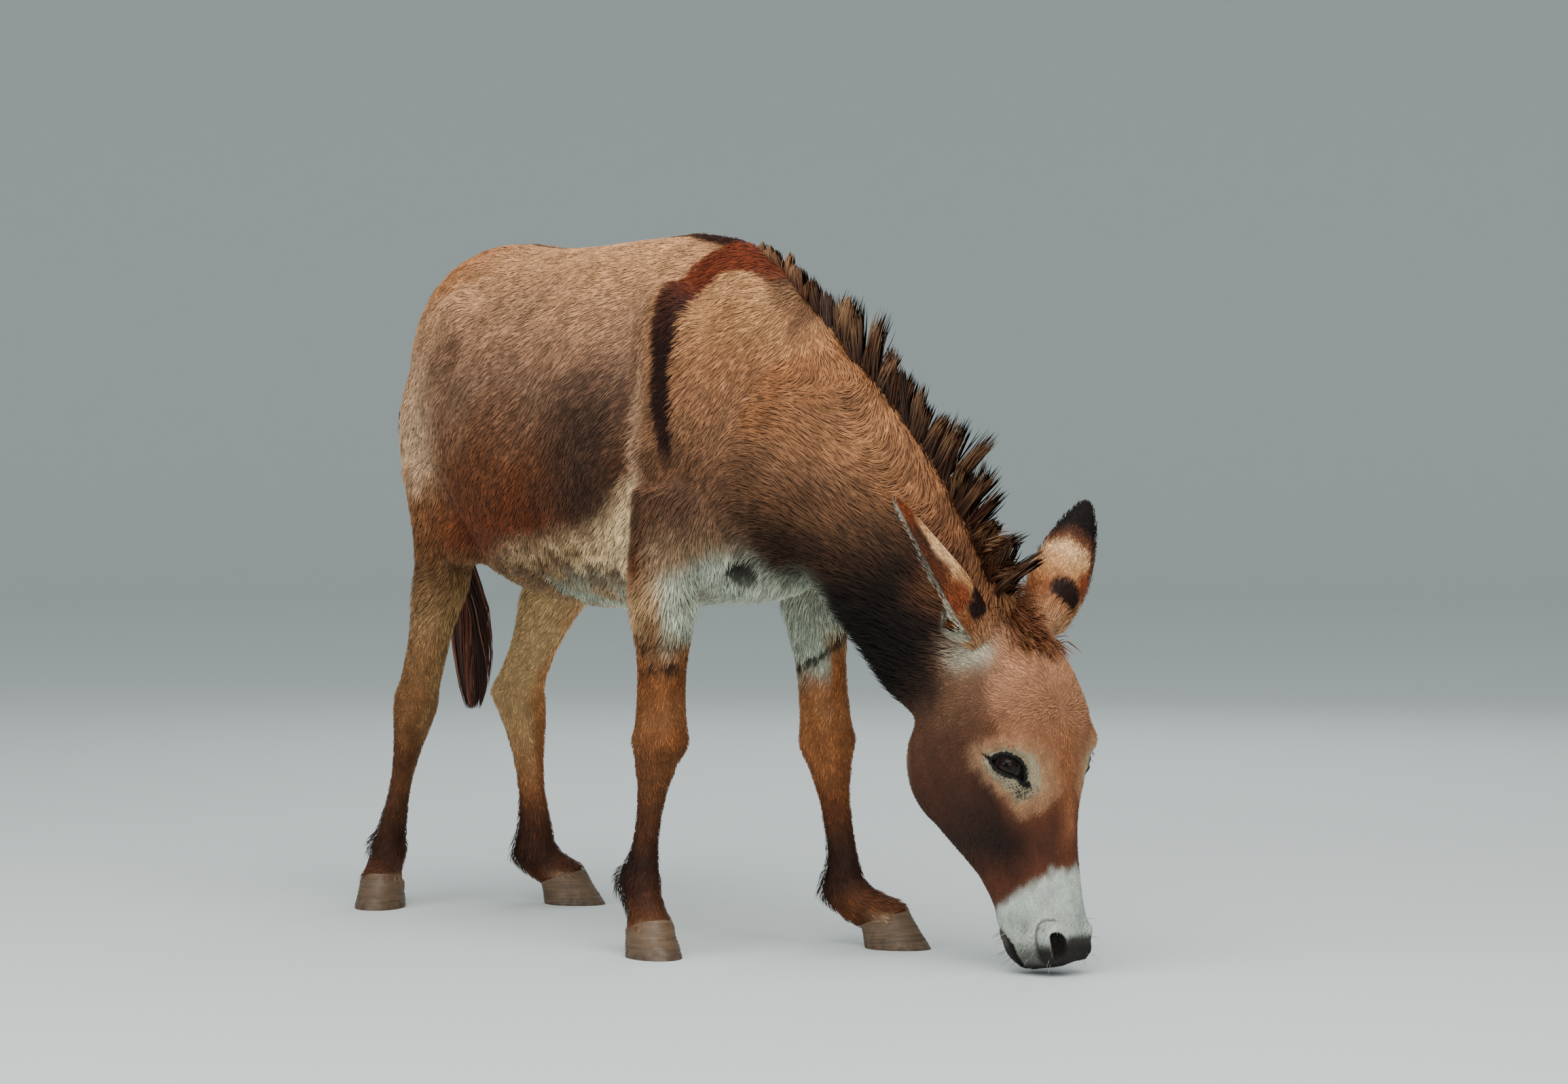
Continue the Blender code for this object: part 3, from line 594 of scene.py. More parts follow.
MANE_SHAPE = (
    # place along the neck's slices, share of the full height, half width
    (0.70, 0.08, 0.009),
    (1.00, 0.16, 0.013),
    (2.00, 0.46, 0.018),
    (3.00, 0.86, 0.022),
    (4.00, 1.00, 0.023),
    (5.00, 0.96, 0.024),
    (6.00, 0.72, 0.026),
    (6.80, 0.62, 0.026),
)
MANE_ROOT = 0.012
TAIL_SHAPE = (
    # front (side, forward, up), back (side, forward, up), half width
    ((0.000, -0.530, 0.940), (0.000, -0.500, 1.020), 0.030),
    ((0.000, -0.585, 0.925), (0.000, -0.572, 0.992), 0.028),
    ((-0.008, -0.611, 0.872), (-0.008, -0.656, 0.892), 0.025),
    ((-0.020, -0.622, 0.800), (-0.020, -0.668, 0.802), 0.023),
    ((0.010, -0.620, 0.700), (0.010, -0.666, 0.700), 0.024),
    ((0.056, -0.604, 0.600), (0.056, -0.662, 0.600), 0.032),
    ((0.080, -0.588, 0.500), (0.080, -0.660, 0.500), 0.037),
    ((0.084, -0.584, 0.420), (0.084, -0.648, 0.420), 0.035),
    ((0.082, -0.590, 0.360), (0.082, -0.632, 0.360), 0.024),
    ((0.080, -0.602, 0.318), (0.080, -0.618, 0.318), 0.009),
)


def shift_of_model():
    """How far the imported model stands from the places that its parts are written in."""
    low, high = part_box("eye_right")
    return (low + high) / 2 - EYE_PLACES["eye_right"]


SHIFT = shift_of_model()

# ---------------------------------------------------------------------------
# Measures of many points at once. Points are rows of (side, -forward, up).

HEAD_WAYS = np.array([HEAD_LEFT, FACE_FRONT, FACE_DOWN])
NOSE_POINT = np.array(EYES_ON_NOSE_LINE)


def head_measures(points):
    """How far each point is to the head's left, out from the nose line, and down the face."""
    side, front, down = ((points - NOSE_POINT) @ HEAD_WAYS.T).T
    return side, front, EYE_LEVEL + down / HEAD_LENGTH


def head_way(side, front, down):
    return np.array(HEAD_LEFT * side + FACE_FRONT * front + FACE_DOWN * down)


def in_head(points):
    """1 in the head and 0 behind the poll and throat."""
    top, bottom = np.array(head_place(0, -0.085, -0.055)), np.array(head_place(0, -0.275, 0.225))
    normal = np.cross(bottom - top, HEAD_WAYS[0])
    normal *= np.sign(normal @ HEAD_WAYS[1]) / np.linalg.norm(normal)
    past = (points - (top + bottom) / 2) @ normal
    return rise(-0.03, 0.03, past) * rise(0.56, 0.62, -points[:, 1])


def along_line(points, line):
    """For each point: how far along a line of joints it is, and its offset from the line."""
    line = np.array([tuple(joint) for joint in line])
    best = np.full(len(points), np.inf)
    along, offset = np.zeros(len(points)), np.zeros((len(points), 3))
    tangent = np.zeros((len(points), 3))
    for index, (start, end) in enumerate(zip(line[:-1], line[1:])):
        step = end - start
        share = np.clip((points - start) @ step / (step @ step), 0, 1)
        away = points - start - column(share) * step
        distance = np.linalg.norm(away, axis=1)
        nearer = distance < best
        best[nearer] = distance[nearer]
        along[nearer] = index + share[nearer]
        offset[nearer] = away[nearer]
        tangent[nearer] = step / np.linalg.norm(step)
    return along, offset, tangent


NECK_LINE = [place(*crest).lerp(place(*throat), 0.5) for crest, throat, _ in NECK_SHAPE]


def neck_measures(points):
    """How far along the neck's slices each point is, and where from crest (0) to throat (1)."""
    along, _, tangent = along_line(points, NECK_LINE)
    crests = np.array([place(*crest) for crest, _, _ in NECK_SHAPE])
    throats = np.array([place(*throat) for _, throat, _ in NECK_SHAPE])
    stops = np.arange(len(NECK_SHAPE))
    crest = np.stack([np.interp(along, stops, crests[:, axis]) for axis in range(3)], 1)
    throat = np.stack([np.interp(along, stops, throats[:, axis]) for axis in range(3)], 1)
    down = throat - crest
    share = dot(points - crest, down) / dot(down, down)
    return along, share, unit(down), tangent


def leg_line(leg):
    return [*leg.joints, coronet_middle(leg)]


def leg_measures(points):
    """For each point: the nearest leg's number, how far down its bones, offset and tangent."""
    nearest = np.full(len(points), np.inf)
    which = np.zeros(len(points), int)
    along, offset = np.zeros(len(points)), np.zeros((len(points), 3))
    tangent = np.zeros((len(points), 3))
    for index, leg in enumerate(LEGS.values()):
        here = along_line(points, leg_line(leg))
        distance = np.linalg.norm(here[1], axis=1)
        chosen = distance < nearest
        nearest[chosen], which[chosen] = distance[chosen], index
        along[chosen], offset[chosen], tangent[chosen] = (part[chosen] for part in here)
    return which, along, offset, tangent


def in_legs(points, top=0.60, bottom=0.50):
    """1 in the legs and 0 in the body."""
    low = rise(top, bottom, points[:, 2])
    return low * rise(0.62, 0.56, -points[:, 1])


# ---------------------------------------------------------------------------
# Shaping the skin

EyeFrame = namedtuple("EyeFrame", "middle out along up")


def eye_frame(name):
    """The eye's own directions: out of the head, along the lids to the inner corner, and up."""
    side = -1 if name == "eye_right" else 1
    out = head_way(side * 0.862, 0.507, -0.030)
    along = head_way(-side * 0.385, 0.691, 0.612)
    up = head_way(-side * 0.331, 0.515, -0.791)
    return EyeFrame(np.array(EYE_PLACES[name]), *(way / np.linalg.norm(way) for way in (out, along, up)))


def around(points, eye):
    away = points - eye.middle
    return away @ eye.along, away @ eye.up, away @ eye.out


LID_OPENING = (
    # along, up: from the outer corner over the upper lid to the inner corner and back
    (-0.0255, -0.0065), (-0.0200, 0.0050), (-0.0100, 0.0120), (0.0020, 0.0150),
    (0.0130, 0.0145), (0.0230, 0.0080), (0.0310, -0.0070), (0.0230, -0.0072),
    (0.0120, -0.0090), (0.0010, -0.0118), (-0.0100, -0.0128), (-0.0190, -0.0110),
)
PALE_RING = (
    (-0.0430, -0.0060), (-0.0330, 0.0090), (-0.0180, 0.0220), (-0.0060, 0.0290),
    (0.0060, 0.0355), (0.0215, 0.0375), (0.0360, 0.0320), (0.0490, 0.0200),
    (0.0600, 0.0070), (0.0600, -0.0120), (0.0510, -0.0290), (0.0410, -0.0400),
    (0.0240, -0.0350), (0.0035, -0.0325), (-0.0160, -0.0290), (-0.0360, -0.0205),
)


def reach_of(outline, across, upward, centre=(0.0, 0.0)):
    """How far out each point is, and how far out the closed outline is in its direction."""
    loop = [Vector(point) for point in outline]
    count = len(loop)
    fine = [
        between([loop[(index + k) % count] for k in (-1, 0, 1, 2)], step / 6)
        for index in range(count)
        for step in range(6)
    ]
    spots = np.array([tuple(point) for point in fine]) - centre
    angles = np.arctan2(spots[:, 1], spots[:, 0])
    order = np.argsort(angles)
    angles, reaches = angles[order], np.linalg.norm(spots, axis=1)[order]
    across, upward = across - centre[0], upward - centre[1]
    reach = np.interp(np.arctan2(upward, across), angles, reaches, period=2 * math.pi)
    return np.hypot(across, upward), reach


def open_eye(points, eye, fineness):
    """Lays the lids over the globe, and sinks the skin inside their opening behind it."""
    along, up, out = around(points, eye)
    away, reach = reach_of(LID_OPENING, along, up)
    near = (np.hypot(along, up) < 0.050) & (out > -0.012)
    beyond = away - reach
    # The rim of the opening is drawn onto its outline, so that it is one clean edge.
    rim = near & (np.abs(beyond) < fineness * 0.75)
    lip = near & (beyond < -fineness * 0.75) & (beyond > -fineness * 1.9)
    pulled = np.where(rim, reach, np.where(lip, reach - fineness, away)) / np.maximum(away, 1e-6)
    along, up = along * pulled, up * pulled
    away = away * pulled
    lid = EYE_RADIUS + 0.0034
    dome = np.sqrt(np.maximum(lid**2 - away**2, 0.0)) * (away < 0.019)
    edge = math.sqrt(lid**2 - 0.019**2)
    dome = np.where(away < 0.019, dome, edge - 0.95 * (away - 0.019))
    spread = rise(0.0, 0.020, beyond + 0.001)
    height = dome * (1 - spread) + np.maximum(out, dome - 0.004) * spread
    # Folds that follow the upper lid, and a softer one under the lower.
    above = rise(-0.002, 0.006, up)
    height -= 0.0024 * hill(beyond, 0.0088, 0.0020) * above
    height += 0.0016 * hill(beyond, 0.0045, 0.0030) * above
    height -= 0.0018 * hill(beyond, 0.0165, 0.0030) * above * rise(0.02, -0.02, along)
    height -= 0.0014 * hill(beyond, 0.0080, 0.0022) * (1 - above)
    globe = np.sqrt(np.maximum(EYE_RADIUS**2 - away**2, 0.0))
    inside = np.where(lip, np.minimum(globe - 0.0002, height - 0.002), globe - 0.0065)
    inside = np.maximum(inside, height - 0.010)
    height = np.where(beyond < -fineness * 0.75, inside, height)
    made = eye.middle + column(along) * eye.along + column(up) * eye.up + column(height) * eye.out
    return np.where(column(near), made, points)


NOSTRIL_OPENING = (
    # across (outwards), up: a comma, wide above and drawn out below towards the lips
    (0.0180, 0.0120), (0.0140, 0.0185), (0.0040, 0.0190), (-0.0040, 0.0130),
    (-0.0075, 0.0040), (-0.0085, -0.0080), (-0.0050, -0.0180), (0.0020, -0.0240),
    (0.0080, -0.0220), (0.0120, -0.0120), (0.0165, 0.0000),
)


def nostril_frame(side):
    middle = np.array(head_place(side * 0.034, -0.016, 0.925))
    out = head_way(side * 0.50, 0.82, 0.28)
    up = head_way(side * 0.10, 0.28, -0.95)
    out /= np.linalg.norm(out)
    up -= out * (up @ out)
    up /= np.linalg.norm(up)
    across = head_way(side, 0, 0)
    across -= out * (across @ out) + up * (across @ up)
    return EyeFrame(middle, out, across / np.linalg.norm(across), up)


def open_nostril(points, nostril):
    across, up, out = around(points, nostril)
    away, reach = reach_of(NOSTRIL_OPENING, across, up, centre=(0.004, -0.002))
    near = (np.hypot(across, up) < 0.060) & (np.abs(out) < 0.040)
    beyond = away - reach
    sunk = rise(0.0005, -0.0040, beyond) * 0.018 + rise(-0.004, -0.010, beyond) * 0.006
    rim = 0.0030 * hill(beyond, 0.0045, 0.0040)
    fold = 0.0030 * hill(beyond, 0.0150, 0.0022) * rise(0.0, 0.010, across) * rise(-0.035, -0.020, up)
    change = np.where(near, rim - sunk - fold, 0.0)
    inward = np.where(near, rise(0.0005, -0.0040, beyond), 0.0)
    # The hole runs up and back, under its upper rim.
    return points + column(change) * nostril.out + column(inward * 0.006) * nostril.up


MOUTH_LINE = (
    # front, level: from the corner of the mouth to the lips' edge
    (-0.150, 0.842), (-0.130, 0.872), (-0.110, 0.900), (-0.096, 0.925), (-0.090, 0.965), (-0.088, 1.020),
)


def mouth_gap(front, level):
    """How far each point of the head is from the line between the lips."""
    down = (level - EYE_LEVEL) * HEAD_LENGTH
    line = [Vector((out, (stop - EYE_LEVEL) * HEAD_LENGTH, 0)) for out, stop in MOUTH_LINE]
    spots = np.stack([front, down, np.zeros(len(front))], 1)
    _, offset, _ = along_line(spots, line)
    return np.linalg.norm(offset, axis=1)


def shape_head(points, normals):
    side, front, level = head_measures(points)
    share = in_head(points)
    out = np.abs(side)
    change = np.zeros(len(points))
    # Slit of the mouth with its two lips.
    gap = mouth_gap(front, level)
    lips = rise(0.80, 0.86, level)
    change -= 0.0055 * hill(gap, 0, 0.0022) * rise(0.855, 0.875, level)
    change += 0.0016 * hill(gap, 0.0075, 0.0050) * lips
    # Facial crest with a hollow above and below it, and the hollow over the eye.
    crest = np.abs(front + 0.075)
    on_side = rise(0.03, 0.05, out)
    change += 0.0030 * hill(crest, 0, 0.010) * rise(0.44, 0.50, level) * rise(0.68, 0.60, level) * on_side
    change -= 0.0025 * hill(front, -0.050, 0.012) * hill(level, 0.58, 0.07) * on_side
    change -= 0.0050 * hill(front, -0.072, 0.022) * hill(level, 0.285, 0.035) * on_side
    # Groove beside the bone of the nose, and one between jaw and cheek.
    change -= 0.0016 * hill(front, -0.030, 0.010) * hill(level, 0.66, 0.09) * on_side
    jaw = np.abs(front + 0.150 + (level - 0.62) * 0.20)
    change -= 0.0022 * hill(jaw, 0, 0.014) * hill(level, 0.62, 0.08)
    # Ridge where the coat of the two sides meets down the middle of the face.
    change += 0.0012 * hill(side, 0, 0.006) * rise(0.22, 0.30, level) * rise(0.60, 0.52, level)
    # Small wrinkles above the lips and the chin's swelling.
    wrinkles = np.sin(level * 520 + front * 60) * rise(0.02, 0.035, out)
    change += 0.0005 * wrinkles * rise(0.88, 0.92, level) * rise(-0.06, -0.075, front) * share
    return points + normals * column(change * share)


def shape_body(points, normals):
    side, forward, up = points[:, 0], -points[:, 1], points[:, 2]
    out = np.abs(side)
    body = (1 - in_head(points)) * rise(0.50, 0.58, up)
    change = np.zeros(len(points))
    # Edge of the shoulder, the fold behind the elbow and the hollow of the flank.
    blade = np.abs(forward - 0.315 + (up - 0.75) * 0.10)
    change -= 0.005 * hill(blade, 0, 0.022) * rise(0.60, 0.68, up) * rise(0.92, 0.76, up)
    change -= 0.006 * hill(np.hypot(forward - 0.285, up - 0.640), 0, 0.035)
    change -= 0.009 * hill(forward, -0.175, 0.035) * hill(up, 0.905, 0.055) * rise(0.10, 0.15, out)
    change += 0.004 * hill(forward, -0.215, 0.030) * hill(up, 0.985, 0.030) * rise(0.10, 0.15, out)
    # Fold from the stifle up to the flank.
    stifle = np.abs(forward + 0.190 - (0.70 - up) * 0.25)
    change -= 0.006 * hill(stifle, 0, 0.014) * hill(up, 0.660, 0.060) * rise(0.10, 0.15, out)
    # Ribs, faint under the coat, and the groove down the back.
    ribs = np.sin((forward + (1.0 - up) * 0.22) * 2 * math.pi / 0.048)
    change += 0.0008 * ribs * rise(-0.14, -0.06, forward) * rise(0.24, 0.16, forward) * hill(up, 0.82, 0.14)
    change -= 0.003 * hill(side, 0, 0.016) * rise(0.25, 0.18, forward) * rise(1.00, 1.05, up)
    # Parting between the buttocks, and the muscle line down the thigh.
    behind = rise(-0.47, -0.52, forward)
    change -= 0.010 * hill(side, 0, 0.014) * behind * rise(0.92, 0.84, up)
    # Groove along the lower neck, and between neck and shoulder.
    along, share, _, _ = neck_measures(points)
    neck = rise(1.6, 2.6, along) * body * rise(0.50, 0.54, forward)
    change -= 0.004 * hill(share, 0.74, 0.07) * neck
    change -= 0.005 * hill(along, 1.3, 0.35) * hill(share, 0.5, 0.3) * rise(0.46, 0.50, forward)
    return points + normals * column(change * body)


def shape_legs(points, normals):
    which, along, offset, _ = leg_measures(points)
    share = rise(0.52, 0.46, points[:, 2]) * rise(0.62, 0.56, -points[:, 1])
    sides = np.abs(unit(offset)[:, 0])
    fore = which < 2
    change = -0.0022 * hill(along, 2.55, 0.24) * hill(sides, 0.85, 0.25)  # before the tendon
    change += np.where(fore, 0.0030 * hill(along, 2.02, 0.06), 0.0010 * hill(along, 2.02, 0.06))
    change -= np.where(fore, 0.0022 * hill(along, 2.17, 0.05), 0.0)
    change -= 0.0014 * hill(along, 2.92, 0.02) + 0.0012 * hill(along, 3.35, 0.06)
    back = rise(0.2, 0.7, unit(offset)[:, 1])
    change += 0.0030 * hill(along, 2.99, 0.05) * back  # the tuft-covered back of the fetlock
    return points + normals * column(change * share)


def coat_depth(points):
    """How far the skin lies inside the outline of the coat."""
    head, legs = in_head(points), in_legs(points)
    forward, up = -points[:, 1], points[:, 2]
    depth = np.full(len(points), 0.0038)
    along, _, _, _ = neck_measures(points)
    depth += 0.0012 * rise(1.5, 3.0, along) * rise(0.50, 0.56, forward)
    depth = depth * (1 - head) + 0.0014 * head
    depth = depth * (1 - legs) + (0.0013 + 0.0012 * hill(up, 0.10, 0.03)) * legs
    return depth


def relaxed(mesh, points, rounds, amount):
    """The points drawn towards the middle of their neighbours, each by its own amount."""
    edges = np.empty(len(mesh.edges) * 2, np.int32)
    mesh.edges.foreach_get("vertices", edges)
    first, second = edges.reshape(-1, 2).T
    count = len(points)
    degree = np.bincount(first, minlength=count) + np.bincount(second, minlength=count)
    for _ in range(rounds):
        total = np.stack(
            [
                np.bincount(first, points[second, axis], count)
                + np.bincount(second, points[first, axis], count)
                for axis in range(3)
            ],
            1,
        )
        points = points + (total / column(np.maximum(degree, 1)) - points) * column(amount)
    return points


def refined(obj, wanted):
    """Divides the faces whose middles are wanted, and eases the new ones into a smooth skin."""
    mesh = obj.data
    centres = np.empty(len(mesh.polygons) * 3, np.float32)
    mesh.polygons.foreach_get("center", centres)
    chosen = wanted(centres.reshape(-1, 3).astype(float))
    bm = bmesh.new()
    bm.from_mesh(mesh)
    bm.faces.ensure_lookup_table()
    edges = {edge for index in np.flatnonzero(chosen) for edge in bm.faces[index].edges}
    bmesh.ops.subdivide_edges(bm, edges=list(edges), cuts=1, use_grid_fill=True)
    bm.to_mesh(mesh)
    bm.free()
    points = points_of(mesh)
    put_points(mesh, relaxed(mesh, points, 3, np.where(wanted(points), 0.4, 0.0)))


def nearer_of(points, spots):
    """How far each point is from the nearer of two spots."""
    return np.minimum(*(np.linalg.norm(points - np.array(spot), axis=1) for spot in spots))


def near_eyes(points, radius):
    return nearer_of(points, EYE_PLACES.values()) < radius


def near_muzzle(points):
    _, _, level = head_measures(points)
    return (level > 0.80) & (in_head(points) > 0.5)


def near_nostrils(points):
    return nearer_of(points, (nostril_frame(side).middle for side in (-1, 1))) < 0.035


TAIL_CORE_FROM = 4  # the slice from which the tail is a thin core inside long hair
TAIL_CORE_SHARE = 0.45


def tail_form():
    slices = []
    for index, (front, back, half_width) in enumerate(TAIL_SHAPE[:-1]):
        share = 1.0 if index < TAIL_CORE_FROM else TAIL_CORE_SHARE
        middle = place(*front).lerp(place(*back), 0.5)
        slices.append(
            cut(middle.lerp(place(*front), share), middle.lerp(place(*back), share), half_width * share)
        )
    loft("tail_form", slices, points=16)


def body_form(detail):
    """All the forms of flesh joined, fused to one closed skin and smoothed."""
    before = set(bpy.data.objects)
    trunk()
    neck()
    head()
    for name in LEGS:
        leg_form(name)
    tail_form()
    skin = join_meshes("skin", [obj for obj in list(bpy.data.objects) if obj not in before])
    fuse = skin.modifiers.new("fuse", "REMESH")
    fuse.mode = "VOXEL"
    fuse.voxel_size = detail
    skin.data = made_mesh(skin)
    points = points_of(skin.data)
    everywhere = np.ones(len(points))
    for _ in range(SKIN_SMOOTHING):  # drawn in and let out again, so that nothing grows thin
        points = relaxed(skin.data, points, 1, 0.55 * everywhere)
        points = relaxed(skin.data, points, 1, -0.57 * everywhere)
    put_points(skin.data, points)
    return skin


def ear_shell(name):
    """The ear as a thin cupped leaf, open to the side that its hollow faces."""
    leaf = loft(name + "_shell", ear_slices(name, EAR_SHAPE), points=40, steps=5)
    hollow_shape = [
        (share, max(half_width - EAR_WALL * 0.55, 0.003), max(depth, 0.010))
        for share, half_width, depth in EAR_SHAPE
        if EAR_HOLLOW_FROM < share < 1
    ]
    hollow = loft(name + "_hollow", ear_slices(name, hollow_shape, EAR_WALL * 1.25), points=40, steps=5)
    modifier = leaf.modifiers.new("hollow", "BOOLEAN")
    modifier.operation = "DIFFERENCE"
    modifier.solver = "EXACT"
    modifier.object = hollow
    leaf.data = made_mesh(leaf)
    bpy.data.objects.remove(hollow)
    points = points_of(leaf.data)
    put_points(leaf.data, points - normals_of(leaf.data) * 0.0012)
    return leaf


def build_skin(detail):
    skin = body_form(detail)
    mesh = skin.data
    for _ in range(3):  # by steps, so that thin legs keep their round form
        put_points(mesh, points_of(mesh) - normals_of(mesh) * column(coat_depth(points_of(mesh)) / 3))
    refined(skin, lambda points: (in_head(points) > 0.02) | ((points[:, 2] < 0.46) & (in_legs(points) > 0.5)))
    refined(skin, lambda points: near_eyes(points, 0.060) | near_muzzle(points))
    put_points(mesh, shape_body(points_of(mesh), normals_of(mesh)))
    put_points(mesh, shape_legs(points_of(mesh), normals_of(mesh)))
    refined(skin, lambda points: near_eyes(points, 0.043) | near_nostrils(points))
    put_points(mesh, shape_head(points_of(mesh), normals_of(mesh)))
    points = points_of(mesh)
    for name in EYE_PLACES:
        points = open_eye(points, eye_frame(name), detail / 8)
    for side in (-1, 1):
        points = open_nostril(points, nostril_frame(side))
    put_points(mesh, points)
    return skin


# ---------------------------------------------------------------------------
# Markings. Skin and coat take their colours from the same function of place.

BACK_TAN = srgb(213, 155, 109)
BELLY_PALE = srgb(228, 192, 146)
BELLY_SOIL_AND_SHADE = srgb(92, 60, 32)
NECK_UNDER_HAIR_AND_SHADE = srgb(40, 26, 20)
STRIPE = srgb(50, 24, 16)
STRIPE_TOP = srgb(112, 50, 27)
WHITE_HAIR = srgb(198, 205, 184)
FACE_DARK = srgb(50, 25, 16)
MUZZLE_WHITE = srgb(222, 230, 218)
BARE_DARK = srgb(36, 30, 27)
LID_BLACK = srgb(20, 16, 15)
LEG_BROWN = srgb(128, 78, 46)
FETLOCK_DARK = srgb(28, 16, 10)
EAR_CREAM = srgb(244, 196, 146)
EAR_INSIDE = srgb(196, 188, 166)
EAR_DARK = srgb(18, 8, 5)
MANE_DARK = srgb(36, 22, 17)
MANE_BROWN = srgb(92, 52, 33)
MANE_TAN = srgb(186, 140, 100)
TAIL_DARK = srgb(44, 26, 20)
TAIL_RED = srgb(96, 48, 32)

STRIPE_LINE = (
    # middle of the shoulder stripe (side, forward, up) and its half width
    ((0.0, 0.480, 1.066), 0.034), ((-0.012, 0.425, 1.086), 0.036), ((-0.030, 0.388, 1.086), 0.035),
    ((-0.055, 0.364, 1.070), 0.033), ((-0.088, 0.358, 1.042), 0.030), ((-0.122, 0.367, 1.006), 0.028),
    ((-0.144, 0.380, 0.968), 0.025), ((-0.155, 0.387, 0.930), 0.023), ((-0.162, 0.392, 0.890), 0.020),
    ((-0.166, 0.397, 0.848), 0.020), ((-0.166, 0.405, 0.805), 0.017), ((-0.164, 0.411, 0.772), 0.011),
)


def blend(base, colour, share):
    return base + (colour - base) * column(np.clip(share, 0, 1))


def hue(name):
    """A main colour as the coat's settings hold it."""
    return np.array(getattr(bpy.context.scene.donkey_coat, name))


def stops(value, marks):
    """A colour read between marks, each a value and either a colour or its three chart numbers."""
    values = [mark[0] for mark in marks]
    colours = np.array([srgb(*mark[1:]) if len(mark) == 4 else mark[1] for mark in marks])
    return np.stack([np.interp(value, values, colours[:, channel]) for channel in range(3)], 1)


def trunk_colour(points):
    side, forward, up = points[:, 0], -points[:, 1], points[:, 2]
    out = np.abs(side)
    wander = mottle(points, 0.16, 11)
    level = up + 0.018 * wander + 0.012 * mottle(points, 0.05, 12)
    back_hue = hue("back")
    # Pale back and shoulders, grey-brown flanks, and a rusty lower flank; the darkening downwards is partly
    # the coat's colour and partly painted shade on the lower body.
    colour = stops(
        level,
        (
            (0.66, 108, 52, 25), (0.75, 116, 68, 40), (0.81, 132, 90, 64),
            (0.90, 140, 104, 80), (0.98, 174, 128, 97), (1.08, back_hue * 0.9), (1.12, back_hue),
        ),
    )
    darker = hill(forward, 0.24, 0.125) * rise(0.60, 0.70, up) * rise(0.98, 0.83, up)
    colour = blend(colour, srgb(58, 41, 31), darker * 0.88)
    rump = rise(-0.16, -0.34, forward)
    haunch = stops(
        level,
        (
            (0.62, 120, 76, 44), (0.69, 150, 100, 64), (0.77, 220, 178, 140),
            (0.94, 200, 154, 118), (1.06, 200, 140, 96),
        ),
    )
    colour = blend(colour, haunch, rump)
    croup = rise(-0.22, -0.32, forward) * rise(1.00, 1.07, up)
    colour = blend(colour, srgb(170, 108, 68), croup * 0.6)
    hip = np.hypot((forward + 0.20) * 0.8, up - 0.93)
    colour = blend(colour, srgb(112, 80, 58), rise(0.060, 0.020, hip) * 0.6)
    bone = np.hypot((forward + 0.235) * 0.7, up - 1.01)
    colour = blend(colour, srgb(204, 156, 118), rise(0.060, 0.015, bone) * 0.5)
    # Shoulder and chest.
    shoulder = rise(0.30, 0.37, forward) * rise(0.58, 0.66, up)
    colour = blend(
        colour,
        stops(
            level,
            (
                (0.64, 84, 54, 35), (0.72, 106, 72, 50), (0.80, 130, 90, 62),
                (0.92, 158, 108, 72), (1.00, 176, 126, 82), (1.09, back_hue),
            ),
        ),
        shoulder,
    )
    edge = hill(forward, 0.334, 0.015) * rise(0.66, 0.72, up) * rise(0.98, 0.88, up)
    colour = blend(colour, srgb(184, 144, 112), edge * 0.7)
    elbow = hill(np.hypot((forward - 0.440) * 0.7, up - 0.700), 0, 0.045)
    colour = blend(colour, srgb(84, 58, 42), elbow * 0.7)
    belly_top = np.interp(
        forward, (-0.30, -0.15, 0.02, 0.20, 0.27, 0.32), (0.592, 0.602, 0.622, 0.652, 0.690, 0.730)
    )
    edge_wander = 0.007 * wander + 0.004 * mottle(points, 0.03, 17)
    belly = rise(0.030, -0.024, up + edge_wander - belly_top)
    belly = belly * rise(-0.42, -0.30, forward) * rise(0.47, 0.40, forward)
    belly *= 1 - rise(0.330, 0.365, forward) * rise(0.100, 0.130, out)
    ochre = blend(np.tile(BELLY_PALE, (len(points), 1)), hue("white"), rise(0.30, 0.40, forward) * 0.3)
    ochre = blend(ochre, srgb(104, 66, 34), rise(0.20, -0.10, forward) * 0.75)
    ochre = blend(ochre, srgb(104, 70, 40), rise(0.2, 1.1, mottle(points, 0.06, 16)) * 0.6)
    # The lowest part of the belly is darkened: partly soil, partly painted shade underneath.
    soil_and_shade = rise(0.625, 0.575, up + 0.024 * mottle(points, 0.03, 13)) * rise(0.46, 0.34, forward)
    ochre = blend(ochre, BELLY_SOIL_AND_SHADE, soil_and_shade * 0.95)
    colour = blend(colour, ochre, belly)
    pale = rise(0.70, 0.62, up - 0.012 * wander) * rise(0.37, 0.42, forward)
    colour = blend(colour, srgb(158, 128, 98), pale * 0.75)
    chest = rise(0.655, 0.605, up - 0.010 * wander + 0.55 * np.maximum(out - 0.130, 0))
    chest = chest * rise(0.40, 0.44, forward)
    colour = blend(colour, hue("white"), chest)
    between_legs = rise(0.130, 0.100, out) * rise(0.36, 0.42, forward) * rise(0.64, 0.60, up)
    colour = blend(colour, hue("white"), between_legs)
    # A small black tuft on the right of the breast.
    spot = np.linalg.norm(points - np.array(place(-0.078, 0.486, 0.602)), axis=1)
    colour = blend(colour, LID_BLACK * 0.6, rise(0.030, 0.022, spot + 0.003 * mottle(points, 0.01, 18)))
    # Inside of the thighs and under the tail.
    inner = rise(0.10, 0.06, out) * rise(0.74, 0.66, up) * rise(-0.16, -0.24, forward)
    colour = blend(colour, srgb(150, 130, 90), inner)
    under_tail = hill(side, 0, 0.030) * rise(-0.50, -0.54, forward)
    under_tail = under_tail * rise(0.93, 0.88, up) * rise(0.66, 0.74, up)
    colour = blend(colour, srgb(50, 32, 26), under_tail * 0.85)
